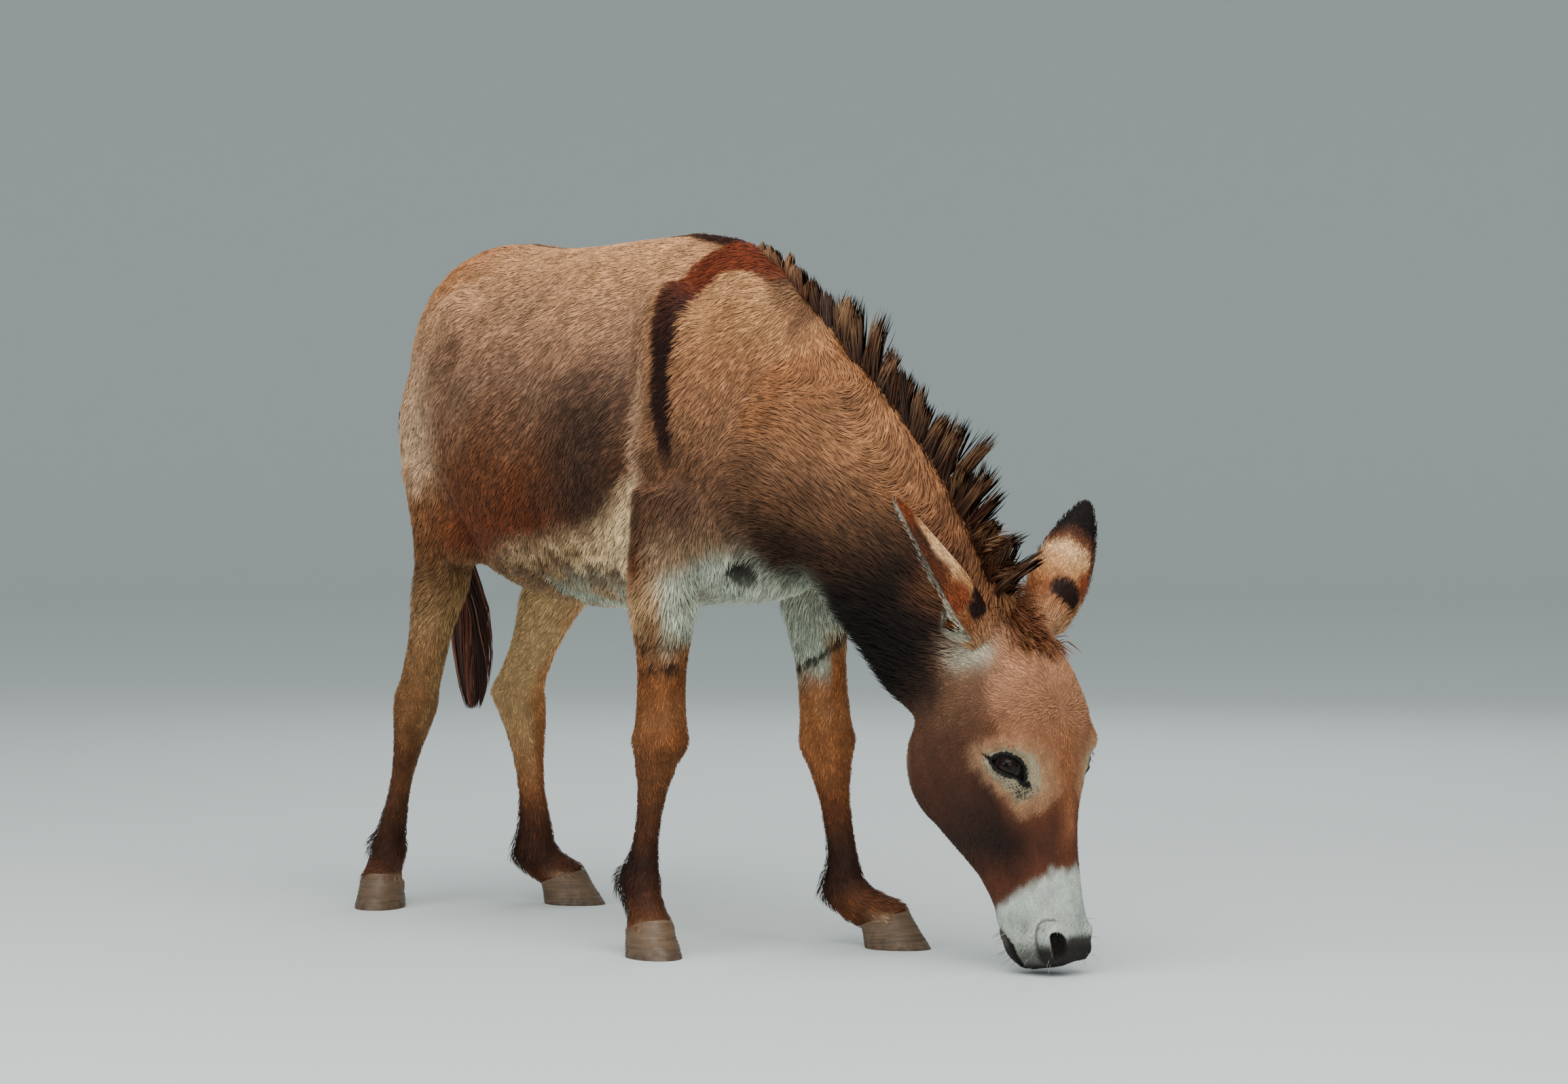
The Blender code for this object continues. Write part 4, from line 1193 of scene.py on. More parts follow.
    # Stripe down the back, and the cross of the shoulders.
    width = np.interp(forward, (-0.60, -0.40, 0.10, 0.30, 0.45), (0.018, 0.015, 0.012, 0.020, 0.030))
    width = width * (1 + 0.12 * mottle(points, 0.03, 14))
    faint = np.interp(forward, (-0.60, -0.45, -0.30, -0.1, 0.15, 0.28), (1.0, 1.0, 0.9, 0.6, 0.7, 1.0))
    back = rise(1.25, 0.75, out / width) * rise(0.86, 0.92, up)
    colour = blend(colour, hue("stripe"), back * faint)
    stripe_hue = hue("stripe")
    line = [place(*spot_) for spot_, _ in STRIPE_LINE]
    mirrored = points * np.array([-1.0, 1.0, 1.0])
    folded = np.where(column(side > 0), mirrored, points)
    along, offset, _ = along_line(folded, line)
    halves = np.interp(along, np.arange(len(line)), [half for _, half in STRIPE_LINE])
    edge = np.linalg.norm(offset, axis=1) / halves + 0.06 * mottle(points, 0.018, 15)
    stripe = stops(
        along,
        ((3.6, STRIPE_TOP), (5.2, stripe_hue * 1.5), (6.6, stripe_hue * 0.62), (11.0, stripe_hue * 0.8)),
    )
    return blend(colour, stripe, rise(1.14, 0.86, edge) * rise(0.74, 0.80, up))


def neck_colour(points):
    side = points[:, 0]
    along, share, _, _ = neck_measures(points)
    wander = mottle(points, 0.10, 21)
    share = share + 0.04 * wander
    # Darker from crest to throat, and near-black low on the neck by the head: partly dark hair, partly
    # painted shade under the neck.
    high = stops(
        share,
        (
            (0.0, 186, 136, 98), (0.20, 170, 118, 82), (0.40, 138, 97, 69), (0.55, 120, 85, 62),
            (0.63, 98, 68, 49), (0.72, 66, 45, 33), (0.85, 50, 34, 25),
        ),
    )
    low = stops(
        share,
        (
            (0.0, 178, 128, 90), (0.16, 152, 102, 71), (0.30, 104, 68, 47), (0.40, 62, 40, 29),
            (0.49, 30, 20, 15), (0.60, 21, 14, 11), (0.95, 15, 10, 8),
        ),
    )
    darker = rise(2.8, 5.0, along)
    colour = high + (low - high) * column(darker)
    colour = blend(colour, srgb(206, 158, 114), rise(1.9, 1.1, along) * rise(0.35, 0.15, share) * 0.8)
    front = hill(along, 1.6, 0.5) * rise(0.1, 0.25, share) * rise(0.55, 0.4, share)
    colour = blend(colour, srgb(150, 96, 60), front * 0.6)
    colour = blend(colour, hue("white"), rise(1.15, 0.75, along) * rise(0.90, 0.96, share))
    crest_side = np.interp(along, range(len(NECK_SHAPE)), [crest[0] for crest, _, _ in NECK_SHAPE])
    crest = rise(0.055, 0.015, share) * rise(0.03, 0.02, np.abs(side - crest_side))
    return blend(colour, MANE_BROWN, crest)


def eye_colour_share(points, name):
    """How much of each point is black lid, and how much the pale ring round the eye."""
    eye = eye_frame(name)
    along, up, out = around(points, eye)
    near = (np.hypot(along, up) < 0.085) & (out > -0.050) & (out < 0.055)
    away, opening = reach_of(LID_OPENING, along, up)
    jitter = 0.0010 * mottle(points, 0.004, 31)
    black = rise(0.0068, 0.0042, away - opening + jitter)
    # Dark skin runs on past the inner corner and in a thin line past the outer.
    tear = np.hypot((along - 0.034) * 0.8, (up + 0.0085) * 1.5)
    black = np.maximum(black, rise(0.0105, 0.0070, tear + jitter))
    line = np.hypot((along + 0.034) * 0.45, (up + 0.0062) * 1.6)
    black = np.maximum(black, rise(0.0060, 0.0035, line + jitter))
    away, ring = reach_of(PALE_RING, along, up, centre=(0.004, -0.002))
    ring = ring + 0.0025 * mottle(points, 0.012, 32)
    pale = rise(1.06, 0.76, away / ring)
    rust = rise(1.7, 0.95, away / ring)
    tear_patch = hill(np.hypot(along - 0.037, up + 0.026), 0, 0.013)
    speckled = rise(0.25, 0.9, mottle(points, 0.0035, 33) + 1.1 * tear_patch) * rise(0.006, -0.006, up)
    return (share * near for share in (black, pale, rust, speckled))


def head_colour(points):
    side, front, level = head_measures(points)
    out = np.abs(side)
    wander = mottle(points, 0.06, 41)
    front_share = rise(-0.085, -0.035, front)
    level_ = level + 0.012 * wander
    colour = stops(
        level_,
        (
            (-0.05, 166, 116, 84), (0.10, 188, 136, 104), (0.22, 172, 122, 92), (0.32, 164, 111, 81),
            (0.44, 154, 98, 68), (0.54, 138, 84, 58), (0.62, 112, 64, 44), (0.70, 104, 58, 38),
        ),
    )
    # The cheek darkens down to the jaw: partly its dark brown coat, partly painted shade.
    cheek = stops(
        level_,
        (
            (0.0, 150, 110, 84), (0.14, 128, 92, 70), (0.30, 98, 64, 47), (0.42, 84, 50, 36),
            (0.54, 66, 37, 25), (0.62, 52, 28, 18), (0.74, 96, 54, 36),
        ),
    )
    colour = cheek + (colour - cheek) * column(front_share)
    shade = hill(level, 0.60, 0.085) * hill(front, -0.085, 0.055)
    colour = blend(colour, FACE_DARK * 0.62, shade * 0.92)
    stripes = hill(out, 0.030, 0.012) * rise(0.48, 0.56, level) * rise(0.74, 0.66, level) * front_share
    colour = blend(colour, FACE_DARK, stripes * 0.55)
    bone = hill(side, 0, 0.010) * rise(0.26, 0.34, level)
    bone = bone * rise(0.66, 0.54, level) * rise(-0.03, -0.01, front)
    colour = blend(colour, srgb(176, 116, 80), bone * 0.7)
    brow = hill(level, 0.235, 0.05) * hill(out, 0.038, 0.024) * front_share
    colour = blend(colour, srgb(172, 124, 92), brow * 0.6)
    hollow = hill(np.hypot((level - 0.27) * 3.0, (front + 0.062) * 5.0), 0, 0.13) * rise(0.05, 0.07, out)
    colour = blend(colour, srgb(118, 76, 54), hollow * 0.55)
    # Dark hair and painted shade where the throat meets the head.
    nape = rise(-0.135, -0.190, front) * rise(0.29, 0.15, level)
    colour = blend(colour, NECK_UNDER_HAIR_AND_SHADE, nape * 0.9)
    throat = rise(-0.245, -0.268, front) * rise(0.20, 0.28, level) * rise(0.56, 0.46, level)
    colour = blend(colour, srgb(176, 156, 128), throat * 0.5)
    base = hill(level, 0.060, 0.045) * hill(out, 0.088, 0.022)
    base = base * rise(-0.05, -0.08, front) * rise(-0.17, -0.13, front)
    colour = blend(colour, srgb(214, 206, 184), base * 0.8)
    # Around the eyes.
    for name in EYE_PLACES:
        black, pale, rust, speckled = eye_colour_share(points, name)
        colour = blend(colour, srgb(204, 158, 122), rust * 0.7)
        colour = blend(colour, srgb(186, 172, 144), pale * 0.94)
        colour = blend(colour, BARE_DARK, pale * speckled * 0.9)
        colour = blend(colour, LID_BLACK, black)
    # The white muzzle, higher on the nose than on the chin, its dark bare skin, and painted shade low on the
    # muzzle and at the mouth.
    border = np.interp(
        front, (-0.14, -0.125, -0.084, -0.047, -0.012, 0.0), (0.816, 0.806, 0.768, 0.740, 0.706, 0.692)
    )
    border = border + 0.004 * wander + 0.006 * mottle(points, 0.016, 42)
    white = rise(-0.020, 0.026, level - border)
    clouded = 0.25 + 0.35 * mottle(points, 0.03, 43)
    muzzle = blend(np.tile(hue("muzzle"), (len(points), 1)), srgb(178, 182, 176), clouded)
    specks = rise(0.55, 1.0, mottle(points, 0.0035, 44)) * rise(0.80, 0.90, level)
    muzzle = blend(muzzle, srgb(120, 112, 106), specks * 0.6)
    colour = blend(colour, muzzle, white)
    nose = rise(0.893, 0.918, level + 0.004 * wander)
    nose = nose * rise(-0.050, -0.034, front) * rise(0.040, 0.026, out)
    colour = blend(colour, BARE_DARK * 0.8, nose * 0.93)
    for nostril in (nostril_frame(-1), nostril_frame(1)):
        across, up, outward = around(points, nostril)
        away, reach = reach_of(NOSTRIL_OPENING, across, up, centre=(0.004, -0.002))
        near = (away < 0.06) & (np.abs(outward) < 0.05)
        colour = blend(colour, BARE_DARK, rise(0.0015, -0.0010, away - reach) * near)
        colour = blend(colour, BARE_DARK * 0.25, rise(-0.001, -0.005, away - reach) * near)
        fold = hill(away - reach, 0.0150, 0.0015) * rise(0.0, 0.010, across)
        fold = fold * rise(-0.035, -0.020, up) * near
        colour = blend(colour, BARE_DARK * 1.8, fold * 0.8)
    shaded = rise(0.880, 0.950, level + 0.006 * wander)
    colour = blend(colour, srgb(72, 70, 64), shaded * 0.82)
    # The lips' dark skin at the front, with painted shade along the muzzle's lowest edge.
    lips = rise(0.905, 0.945, level + 0.006 * wander) * rise(-0.056, -0.044, front)
    lips = np.maximum(lips, rise(0.965, 0.990, level))
    colour = blend(colour, BARE_DARK, lips * 0.95)
    # Painted shadow over the lower lip, on the chin's side of the slit.
    between_lips = np.interp(level, [stop for _, stop in MOUTH_LINE], [away for away, _ in MOUTH_LINE])
    lower_lip_shadow = rise(0.003, -0.004, front - between_lips) * rise(0.862, 0.885, level)
    colour = blend(colour, BARE_DARK * 0.35, lower_lip_shadow)
    # Dark lip skin along the slit, with painted shade inside it.
    gap = mouth_gap(front, level) + 0.0012 * mottle(points, 0.008, 45)
    lip = rise(0.862, 0.885, level)
    colour = blend(colour, BARE_DARK * 0.3, rise(0.0080, 0.0035, gap) * lip)
    chin = rise(0.016, 0.008, gap) * rise(-0.100, -0.120, front) * lip
    return blend(colour, srgb(120, 112, 106), chin * 0.6)


def leg_colour(points):
    which, along, offset, _ = leg_measures(points)
    up = points[:, 2]
    way = unit(offset)
    outward = way[:, 0] * np.where(which % 2 == 0, -1.0, 1.0)
    ahead = -way[:, 1]
    wander = mottle(points, 0.07, 51)
    up_ = up + 0.015 * wander
    fore = column(which < 2)
    front_coat = stops(
        up_,
        (
            (0.05, 106, 64, 40), (0.10, 64, 35, 22), (0.15, 48, 27, 17), (0.22, 88, 50, 29),
            (0.30, 126, 80, 50), (0.36, 136, 90, 58), (0.44, LEG_BROWN), (0.51, 146, 110, 78),
            (0.56, 206, 168, 126),
        ),
    )
    hind_coat = stops(
        up_,
        (
            (0.05, 96, 58, 38), (0.10, 56, 31, 20), (0.17, 84, 50, 30), (0.26, 112, 68, 40),
            (0.36, 138, 96, 62), (0.50, 158, 122, 86), (0.60, 128, 92, 60), (0.66, 118, 80, 52),
        ),
    )
    colour = np.where(fore, front_coat, hind_coat)
    # Painted light: the far legs are made lighter, to make up for the shade that they stand in.
    far = np.isin(which, (1, 3)) * rise(0.12, 0.20, up)
    colour = colour * column(1 + np.where(which == 1, 0.75, 1.40) * far)
    # Pale inside and behind, more so in front and higher up.
    inner_front = rise(0.10, 0.60, -outward + 0.25 * wander + 0.35 * np.maximum(-ahead, 0)) * rise(
        0, 0.08, up + 0.02 * wander - np.where(which == 0, 0.475, 0.38)
    )
    colour = blend(colour, hue("white"), np.where(which < 2, inner_front, 0))
    inner_hind = rise(-0.30, 0.35, -outward + 0.20 * wander) * rise(0.16, 0.34, up)
    colour = blend(colour, srgb(214, 176, 128), np.where(which == 3, inner_hind * 0.85, 0))
    colour = blend(colour, srgb(164, 130, 88), np.where(which == 2, inner_hind * 0.6, 0))
    paler = rise(0.2, 0.7, outward) * hill(up, 0.30, 0.12) * (which == 1)
    colour = blend(colour, srgb(150, 96, 58), paler * 0.5)
    white_top = rise(0.47, 0.54, up + 0.02 * wander) * rise(-0.45, 0.15, ahead) * rise(0.75, 0.35, outward)
    colour = blend(colour, hue("white"), np.where(which < 2, white_top, 0))
    # Dark bars on the forearms and dark backs to the fetlocks.
    right_fore = (which == 0) & (outward > -0.15)
    for height, low in ((0.487, -0.2), (0.451, 0.35)):
        bar = hill(up + 0.006 * mottle(points, 0.02, 52), height, 0.0055)
        bar = bar * rise(low - 0.15, low + 0.15, ahead)
        colour = blend(colour, FETLOCK_DARK, bar * right_fore * 0.9)
    left_bar = np.abs(up - (0.475 + 0.9 * (points[:, 0] - 0.150)))
    colour = blend(colour, FETLOCK_DARK, rise(0.010, 0.005, left_bar) * (which == 1) * (ahead > 0.2) * 0.9)
    back = rise(-0.15, -0.65, ahead) * hill(up, 0.115, 0.050)
    colour = blend(colour, FETLOCK_DARK, back * 0.9)
    ring = hill(up, 0.165, 0.025) * rise(0.1, -0.5, ahead)
    colour = blend(colour, FETLOCK_DARK * 1.5, ring * 0.5)
    knee = hill(along, 2.0, 0.10) * rise(0.0, 0.6, ahead) * (which < 2)
    colour = blend(colour, srgb(142, 84, 50), knee * 0.5)
    chestnut = np.linalg.norm(points - np.array(place(0.128, 0.352, 0.442)), axis=1)
    colour = blend(colour, MANE_DARK, rise(0.016, 0.011, chestnut))
    rim = rise(0.062, 0.052, up) * rise(0.2, 0.8, ahead)
    return blend(colour, srgb(186, 156, 124), rim * 0.6)


def ear_measures(points, name):
    """Share of the ear's length, how far across it each point is, and how far to its opening."""
    side, base, lean = EAR_PLACES[name]
    out, back, up = lean
    axis = (HEAD_LEFT * side * out - HEAD_AHEAD * back + UP * up).normalized()
    opening = HEAD_LEFT * side * 0.72 - HEAD_AHEAD * 0.62
    opening = (opening - axis * opening.dot(axis)).normalized()
    across = axis.cross(opening)
    away = points - np.array(base)
    return away @ np.array(axis) / EAR_LENGTH, away @ np.array(across), away @ np.array(opening)


def ear_colour(points, name, inside):
    share, across, opening = ear_measures(points, name)
    wander = mottle(points, 0.03, 61)
    share_ = share + 0.02 * wander
    colour = stops(
        share_,
        (
            (0.0, 190, 142, 104), (0.20, 150, 88, 52), (0.38, 206, 150, 102),
            (0.55, EAR_CREAM), (0.75, 230, 176, 126), (0.95, 120, 60, 32),
        ),
    )
    reach = np.interp(share, [row[0] for row in EAR_SHAPE], [row[1] for row in EAR_SHAPE])
    rim = np.abs(across) / np.maximum(reach, 0.004)
    near = across if name == "ear_right" else -across
    rust = hill(share, 0.36, 0.10) * hill(near, 0.042, 0.018)
    colour = blend(colour, srgb(132, 58, 32), rise(0.25, 0.6, rust) * 0.9)
    patch = hill(share, 0.22, 0.09) * hill(near, 0.014, 0.028) * rise(0.0, -0.010, opening + 0.003 * wander)
    colour = blend(colour, srgb(34, 14, 8), rise(0.22, 0.55, patch))
    # A dark strip up the edge nearer the face, rusty where it starts, and a dark tip.
    edge = rise(0.60, 0.84, np.sign(near) * rim + 0.08 * wander) * rise(0.34, 0.50, share)
    strip = stops(share, ((0.40, 128, 66, 34), (0.56, 84, 36, 18), (0.72, 44, 16, 9)))
    colour = blend(colour, strip, edge * 0.95)
    edge = rise(0.86, 0.96, rim) * rise(0.36, 0.50, share)
    colour = blend(colour, srgb(96, 46, 24), edge * 0.7)
    if name == "ear_left":
        tip = rise(0.56, 0.68, share_ + 2.4 * np.abs(across - 0.010))
        colour = blend(colour, srgb(92, 44, 26), tip * 0.95)
        tip = rise(0.64, 0.76, share_ + 1.6 * np.abs(across - 0.008) * rise(0.8, 0.6, share))
        colour = blend(colour, EAR_DARK, tip)
    else:
        colour = blend(colour, srgb(112, 54, 27), rise(0.80, 0.92, share_) * 0.95)
    hollow = np.tile(EAR_INSIDE, (len(points), 1))
    hollow = blend(hollow, srgb(120, 100, 84), hill(across, 0, 0.010) * 0.7)
    hollow = blend(hollow, EAR_DARK, rise(0.86, 0.97, rim) * rise(0.30, 0.5, share) * 0.8)
    return rich(blend(colour, hollow, inside), 1.05)


def coat_colour(points):
    """The colour of skin and coat at each place on the body, without the ears."""
    body = rich(trunk_colour(points), 0.92)
    along, _, _, _ = neck_measures(points)
    neck = rise(0.5, 1.5, along + 0.25 * mottle(points, 0.09, 71)) * rise(0.47, 0.53, -points[:, 1])
    colour = blend(body, neck_colour(points), neck * (1 - rise(0.020, 0.0, -points[:, 1] - 0.46)))
    colour = blend(colour, head_colour(points), in_head(points))
    legs = in_legs(points, 0.62, 0.52)
    colour = blend(colour, leg_colour(points), legs)
    tail_along, tail_offset, _ = along_line(points, TAIL_LINE)
    near_tail = (np.linalg.norm(tail_offset, axis=1) < 0.05) & (-points[:, 1] < -0.58)
    tail = stops(tail_along, ((0.8, 120, 84, 60), (2.2, 98, 64, 46), (3.6, TAIL_DARK)))
    colour = np.where(column(near_tail), tail, colour)
    patchy = 1 + 0.06 * mottle(points, 0.045, 72) + 0.07 * mottle(points, 0.015, 73)
    return rich(colour * column(patchy), 1.10)


TAIL_LINE = [place(*front).lerp(place(*back), 0.5) for front, back, _ in TAIL_SHAPE]


# ---------------------------------------------------------------------------
# Materials


class Nodes:
    """A short way of writing a material's nodes."""

    def __init__(self, name):
        self.material = bpy.data.materials.new(name)
        self.material.use_nodes = True
        self.tree = self.material.node_tree
        self.shader = self.tree.nodes["Principled BSDF"]

    def node(self, kind, links=None, **values):
        made = self.tree.nodes.new(kind)
        for key, value in values.items():
            if hasattr(made, key):
                setattr(made, key, value)
            else:
                made.inputs[key.replace("_", " ")].default_value = value
        for socket, source in (links or {}).items():
            self.tree.links.new(source, made.inputs[socket])
        return made

    def set(self, **values):
        for key, value in values.items():
            self.shader.inputs[key.replace("_", " ")].default_value = value

    def link(self, source, socket):
        self.tree.links.new(source, self.shader.inputs[socket])

    def place(self, scale=(1, 1, 1)):
        coordinates = self.node("ShaderNodeTexCoord")
        return self.node(
            "ShaderNodeMapping", {"Vector": coordinates.outputs["Object"]}, Scale=scale
        ).outputs["Vector"]

    def noise(self, size, scale=(1, 1, 1), detail=3.0):
        return self.node(
            "ShaderNodeTexNoise", {"Vector": self.place(scale)}, Scale=1 / size, Detail=detail
        ).outputs["Fac"]

    def between(self, source, low, high, start=0.3, end=0.7):
        """A number carried from one range to another."""
        mapped = self.node("ShaderNodeMapRange", {"Value": source})
        for socket, value in zip(("From Min", "From Max", "To Min", "To Max"), (start, end, low, high)):
            mapped.inputs[socket].default_value = value
        return mapped.outputs["Result"]

    def shaded(self, colour, factor):
        """A colour made lighter or darker by a number."""
        vector = self.node("ShaderNodeVectorMath", operation="SCALE")
        self.tree.links.new(colour, vector.inputs[0])
        self.tree.links.new(factor, vector.inputs["Scale"])
        return vector.outputs["Vector"]

    def bump(self, height, distance, strength=1.0, normal=None):
        made = self.node("ShaderNodeBump", {"Height": height}, Distance=distance, Strength=strength)
        if normal:
            self.tree.links.new(normal, made.inputs["Normal"])
        return made.outputs["Normal"]


def skin_material():
    """Fine flat hair on skin: fibres run down the body, over soft clumps."""
    nodes = Nodes("short hair on skin")
    base = nodes.node("ShaderNodeAttribute", attribute_name="coat").outputs["Color"]
    fibres = nodes.noise(0.0009, (1, 1, 0.22), 2)
    clumps = nodes.noise(0.006, (1, 1, 0.5), 3)
    patches = nodes.noise(0.05)
    tone = nodes.shaded(base, nodes.between(fibres, 0.72, 1.22))
    tone = nodes.shaded(tone, nodes.between(clumps, 0.86, 1.12))
    tone = nodes.shaded(tone, nodes.between(patches, 0.94, 1.06))
    nodes.link(tone, "Base Color")
    nodes.link(nodes.between(clumps, 0.62, 0.80), "Roughness")
    rough = nodes.bump(fibres, 0.0009, 0.7)
    nodes.link(nodes.bump(clumps, 0.0025, 0.45, rough), "Normal")
    nodes.set(Specular_IOR_Level=0.25)
    return nodes.material


def hair_material(name, roughness=0.6, specular=0.15, fibre=0.0006):
    """Tufts take their colour from their own points, with fine strands drawn along them."""
    nodes = Nodes(name)
    base = nodes.node("ShaderNodeAttribute", attribute_name="coat").outputs["Color"]
    fibres = nodes.noise(fibre, (1, 1, 0.3), 2)
    clumps = nodes.noise(0.008)
    tone = nodes.shaded(base, nodes.between(fibres, 0.72, 1.22))
    tone = nodes.shaded(tone, nodes.between(clumps, 0.84, 1.14))
    nodes.link(tone, "Base Color")
    nodes.link(nodes.between(clumps, roughness - 0.08, roughness + 0.08), "Roughness")
    nodes.link(nodes.bump(fibres, 0.0004, 0.5), "Normal")
    nodes.set(Specular_IOR_Level=specular)
    return nodes.material


def eye_material():
    nodes = Nodes("wet eye")
    base = nodes.node("ShaderNodeAttribute", attribute_name="coat").outputs["Color"]
    rays = nodes.noise(0.0012)
    nodes.link(nodes.shaded(base, nodes.between(rays, 0.75, 1.2)), "Base Color")
    nodes.set(Roughness=0.24, Coat_Weight=0.14, Coat_Roughness=0.05, Specular_IOR_Level=0.10)
    return nodes.material


def horn_material(colour, soil):
    """Hoof horn with growth rings, upright fibres and soil near the ground."""
    nodes = Nodes("hoof horn")
    base = nodes.node("ShaderNodeRGB")
    base.outputs[0].default_value = (*colour, 1)
    rings = nodes.noise(0.0035, (0.05, 0.05, 1), 3)
    fibres = nodes.noise(0.0016, (1, 1, 0.08), 2)
    dirt = nodes.noise(0.014)
    tone = nodes.shaded(base.outputs[0], nodes.between(rings, 0.70, 1.25))
    tone = nodes.shaded(tone, nodes.between(fibres, 0.85, 1.12))
    height = nodes.node("ShaderNodeSeparateXYZ", {"Vector": nodes.place()}).outputs["Z"]
    low = nodes.between(height, 1.0, 0.0, 0.002, 0.030)
    share = nodes.node("ShaderNodeMath", operation="MULTIPLY")
    nodes.tree.links.new(low, share.inputs[0])
    nodes.tree.links.new(nodes.between(dirt, 0.0, 1.1), share.inputs[1])
    mixed = nodes.node("ShaderNodeMix", data_type="RGBA")
    nodes.tree.links.new(share.outputs[0], mixed.inputs["Factor"])
    nodes.tree.links.new(tone, mixed.inputs[6])
    mixed.inputs[7].default_value = (*soil, 1)
    nodes.link(mixed.outputs[2], "Base Color")
    nodes.link(nodes.between(dirt, 0.42, 0.72), "Roughness")
    nodes.link(nodes.bump(rings, 0.0010, 0.6, nodes.bump(fibres, 0.0004, 0.4)), "Normal")
    return nodes.material


# ---------------------------------------------------------------------------
# Coat. Every tuft is a closed lock of six faces: its root in the skin, three points round its
# thickest part and a tip.

Fur = namedtuple("Fur", "length width lift")


def lie_of_coat(points, normals):
    """The way the hair points at each place: back and down on the body, down the face."""
    side, forward, up = points[:, 0], -points[:, 1], points[:, 2]
    sign = np.sign(side)
    ones = np.ones(len(points))
    # Trunk: steeper on the lower flank, and level along the back.
    steep = np.interp(up, (0.55, 0.70, 0.90, 1.05, 1.12), (0.9, 1.5, 1.05, 0.65, 0.2))
    steep = steep + 0.9 * rise(-0.30, -0.44, forward)
    way = np.stack([0.25 * sign * rise(0.9, 1.1, up), ones, -steep], 1)
    belly = rise(0.62, 0.56, up)
    way = way * column(1 - belly) + np.array([0, 1.0, -0.1]) * column(belly)
    # Neck: down beside the mane, and swept back across its middle.
    along, share, down, tangent = neck_measures(points)
    sweep = np.interp(share, (0.0, 0.18, 0.35, 0.6, 0.9), (0.75, 0.35, -0.85, -1.0, -0.8))
    fall = np.interp(share, (0.0, 0.2, 0.4, 0.7, 1.0), (0.9, 0.9, 0.35, 0.45, 0.6))
    neck_way = tangent * column(sweep) + down * column(fall)
    neck = rise(0.6, 1.7, along) * rise(0.47, 0.54, forward)
    way = unit(way) * column(1 - neck) + unit(neck_way) * column(neck)
    # Head: up to the poll above a whorl on the forehead, and down the face below it.
    head_side, front, level = head_measures(points)
    below = np.clip((level - 0.24) / 0.11, -0.8, 1)
    cheek = rise(-0.07, -0.13, front) * rise(0.72, 0.55, level)
    apart = np.clip(head_side / 0.035, -1, 1) * (0.35 + 0.75 * hill(level, 0.22, 0.14))
    head_vec = (
        column(apart * (1 - 0.6 * cheek)) * HEAD_WAYS[0]
        - column(0.10 + 1.1 * cheek) * HEAD_WAYS[1]
        + column(below * (1 - 0.45 * cheek)) * HEAD_WAYS[2]
    )
    head_share = in_head(points)
    way = way * column(1 - head_share) + unit(head_vec) * column(head_share)
    # Legs: down their bones.
    legs = in_legs(points, 0.64, 0.52)
    _, _, _, bone = leg_measures(points)
    way = way * column(1 - legs) + (bone + np.array([0, 0.25, 0])) * column(legs)
    # A slow swirl keeps the coat from lying too evenly.
    turn = 0.20 * mottle(points, 0.14, 81) + 0.07 * mottle(points, 0.04, 82)
    way = way + np.cross(normals, way) * column(turn)
    return unit(way - normals * column(dot(way, normals)))


def fur_of(points):
    forward, up = -points[:, 1], points[:, 2]
    head, legs = in_head(points), in_legs(points, 0.58, 0.46)
    length = np.interp(up, (0.54, 0.60, 0.75, 1.0, 1.12), (0.026, 0.022, 0.019, 0.017, 0.015))
    lift = np.interp(up, (0.54, 0.60, 0.72, 1.12), (0.40, 0.22, 0.15, 0.12))
    width = np.full(len(points), 0.0017)
    along, share, _, _ = neck_measures(points)
    neck = rise(1.2, 2.4, along) * rise(0.47, 0.54, forward)
    length = length + neck * (0.005 + 0.004 * hill(share, 0.15, 0.15))
    lift = lift + neck * 0.06
    # The head's hair is short, shortest round the eyes and on the muzzle.
    side, front, level = head_measures(points)
    eyes = nearer_of(points, EYE_PLACES.values())
    face = np.interp(
        level,
        (-0.05, 0.10, 0.26, 0.40, 0.70, 0.78, 1.0),
        (0.014, 0.010, 0.0080, 0.0056, 0.0050, 0.0034, 0.0028),
    )
    face = face * (0.45 + 0.55 * rise(0.026, 0.050, eyes))
    ridge = hill(side, 0, 0.010) * rise(0.24, 0.30, level) * rise(0.60, 0.50, level)
    tufted = hill(level, 0.245, 0.045) * hill(np.abs(side), 0.045, 0.035) * rise(-0.06, -0.03, front)
    face = face * (1 + 0.5 * ridge + 0.5 * tufted)
    length = length * (1 - head) + face * head
    lift = lift * (1 - head) + (0.17 + 0.10 * ridge + 0.16 * tufted) * head
    on_face = np.interp(level, (0.0, 0.3, 0.8, 1.0), (0.0015, 0.0011, 0.0008, 0.0008))
    width = width * (1 - head) + on_face * head
    # Legs: short on the cannons, longer behind the fetlocks and over the hooves' rims.
    leg = np.interp(up, (0.04, 0.07, 0.12, 0.18, 0.35, 0.50), (0.013, 0.014, 0.015, 0.010, 0.010, 0.014))
    _, _, offset, _ = leg_measures(points)
    behind = rise(0.2, 0.8, unit(offset)[:, 1])
    leg = leg * (1 + 0.9 * behind * hill(up, 0.105, 0.045))
    length = length * (1 - legs) + leg * legs
    lift = lift * (1 - legs) + (0.17 + 0.18 * behind * hill(up, 0.11, 0.05)) * legs
    width = width * (1 - legs) + 0.0015 * legs
    return Fur(length, width, lift)


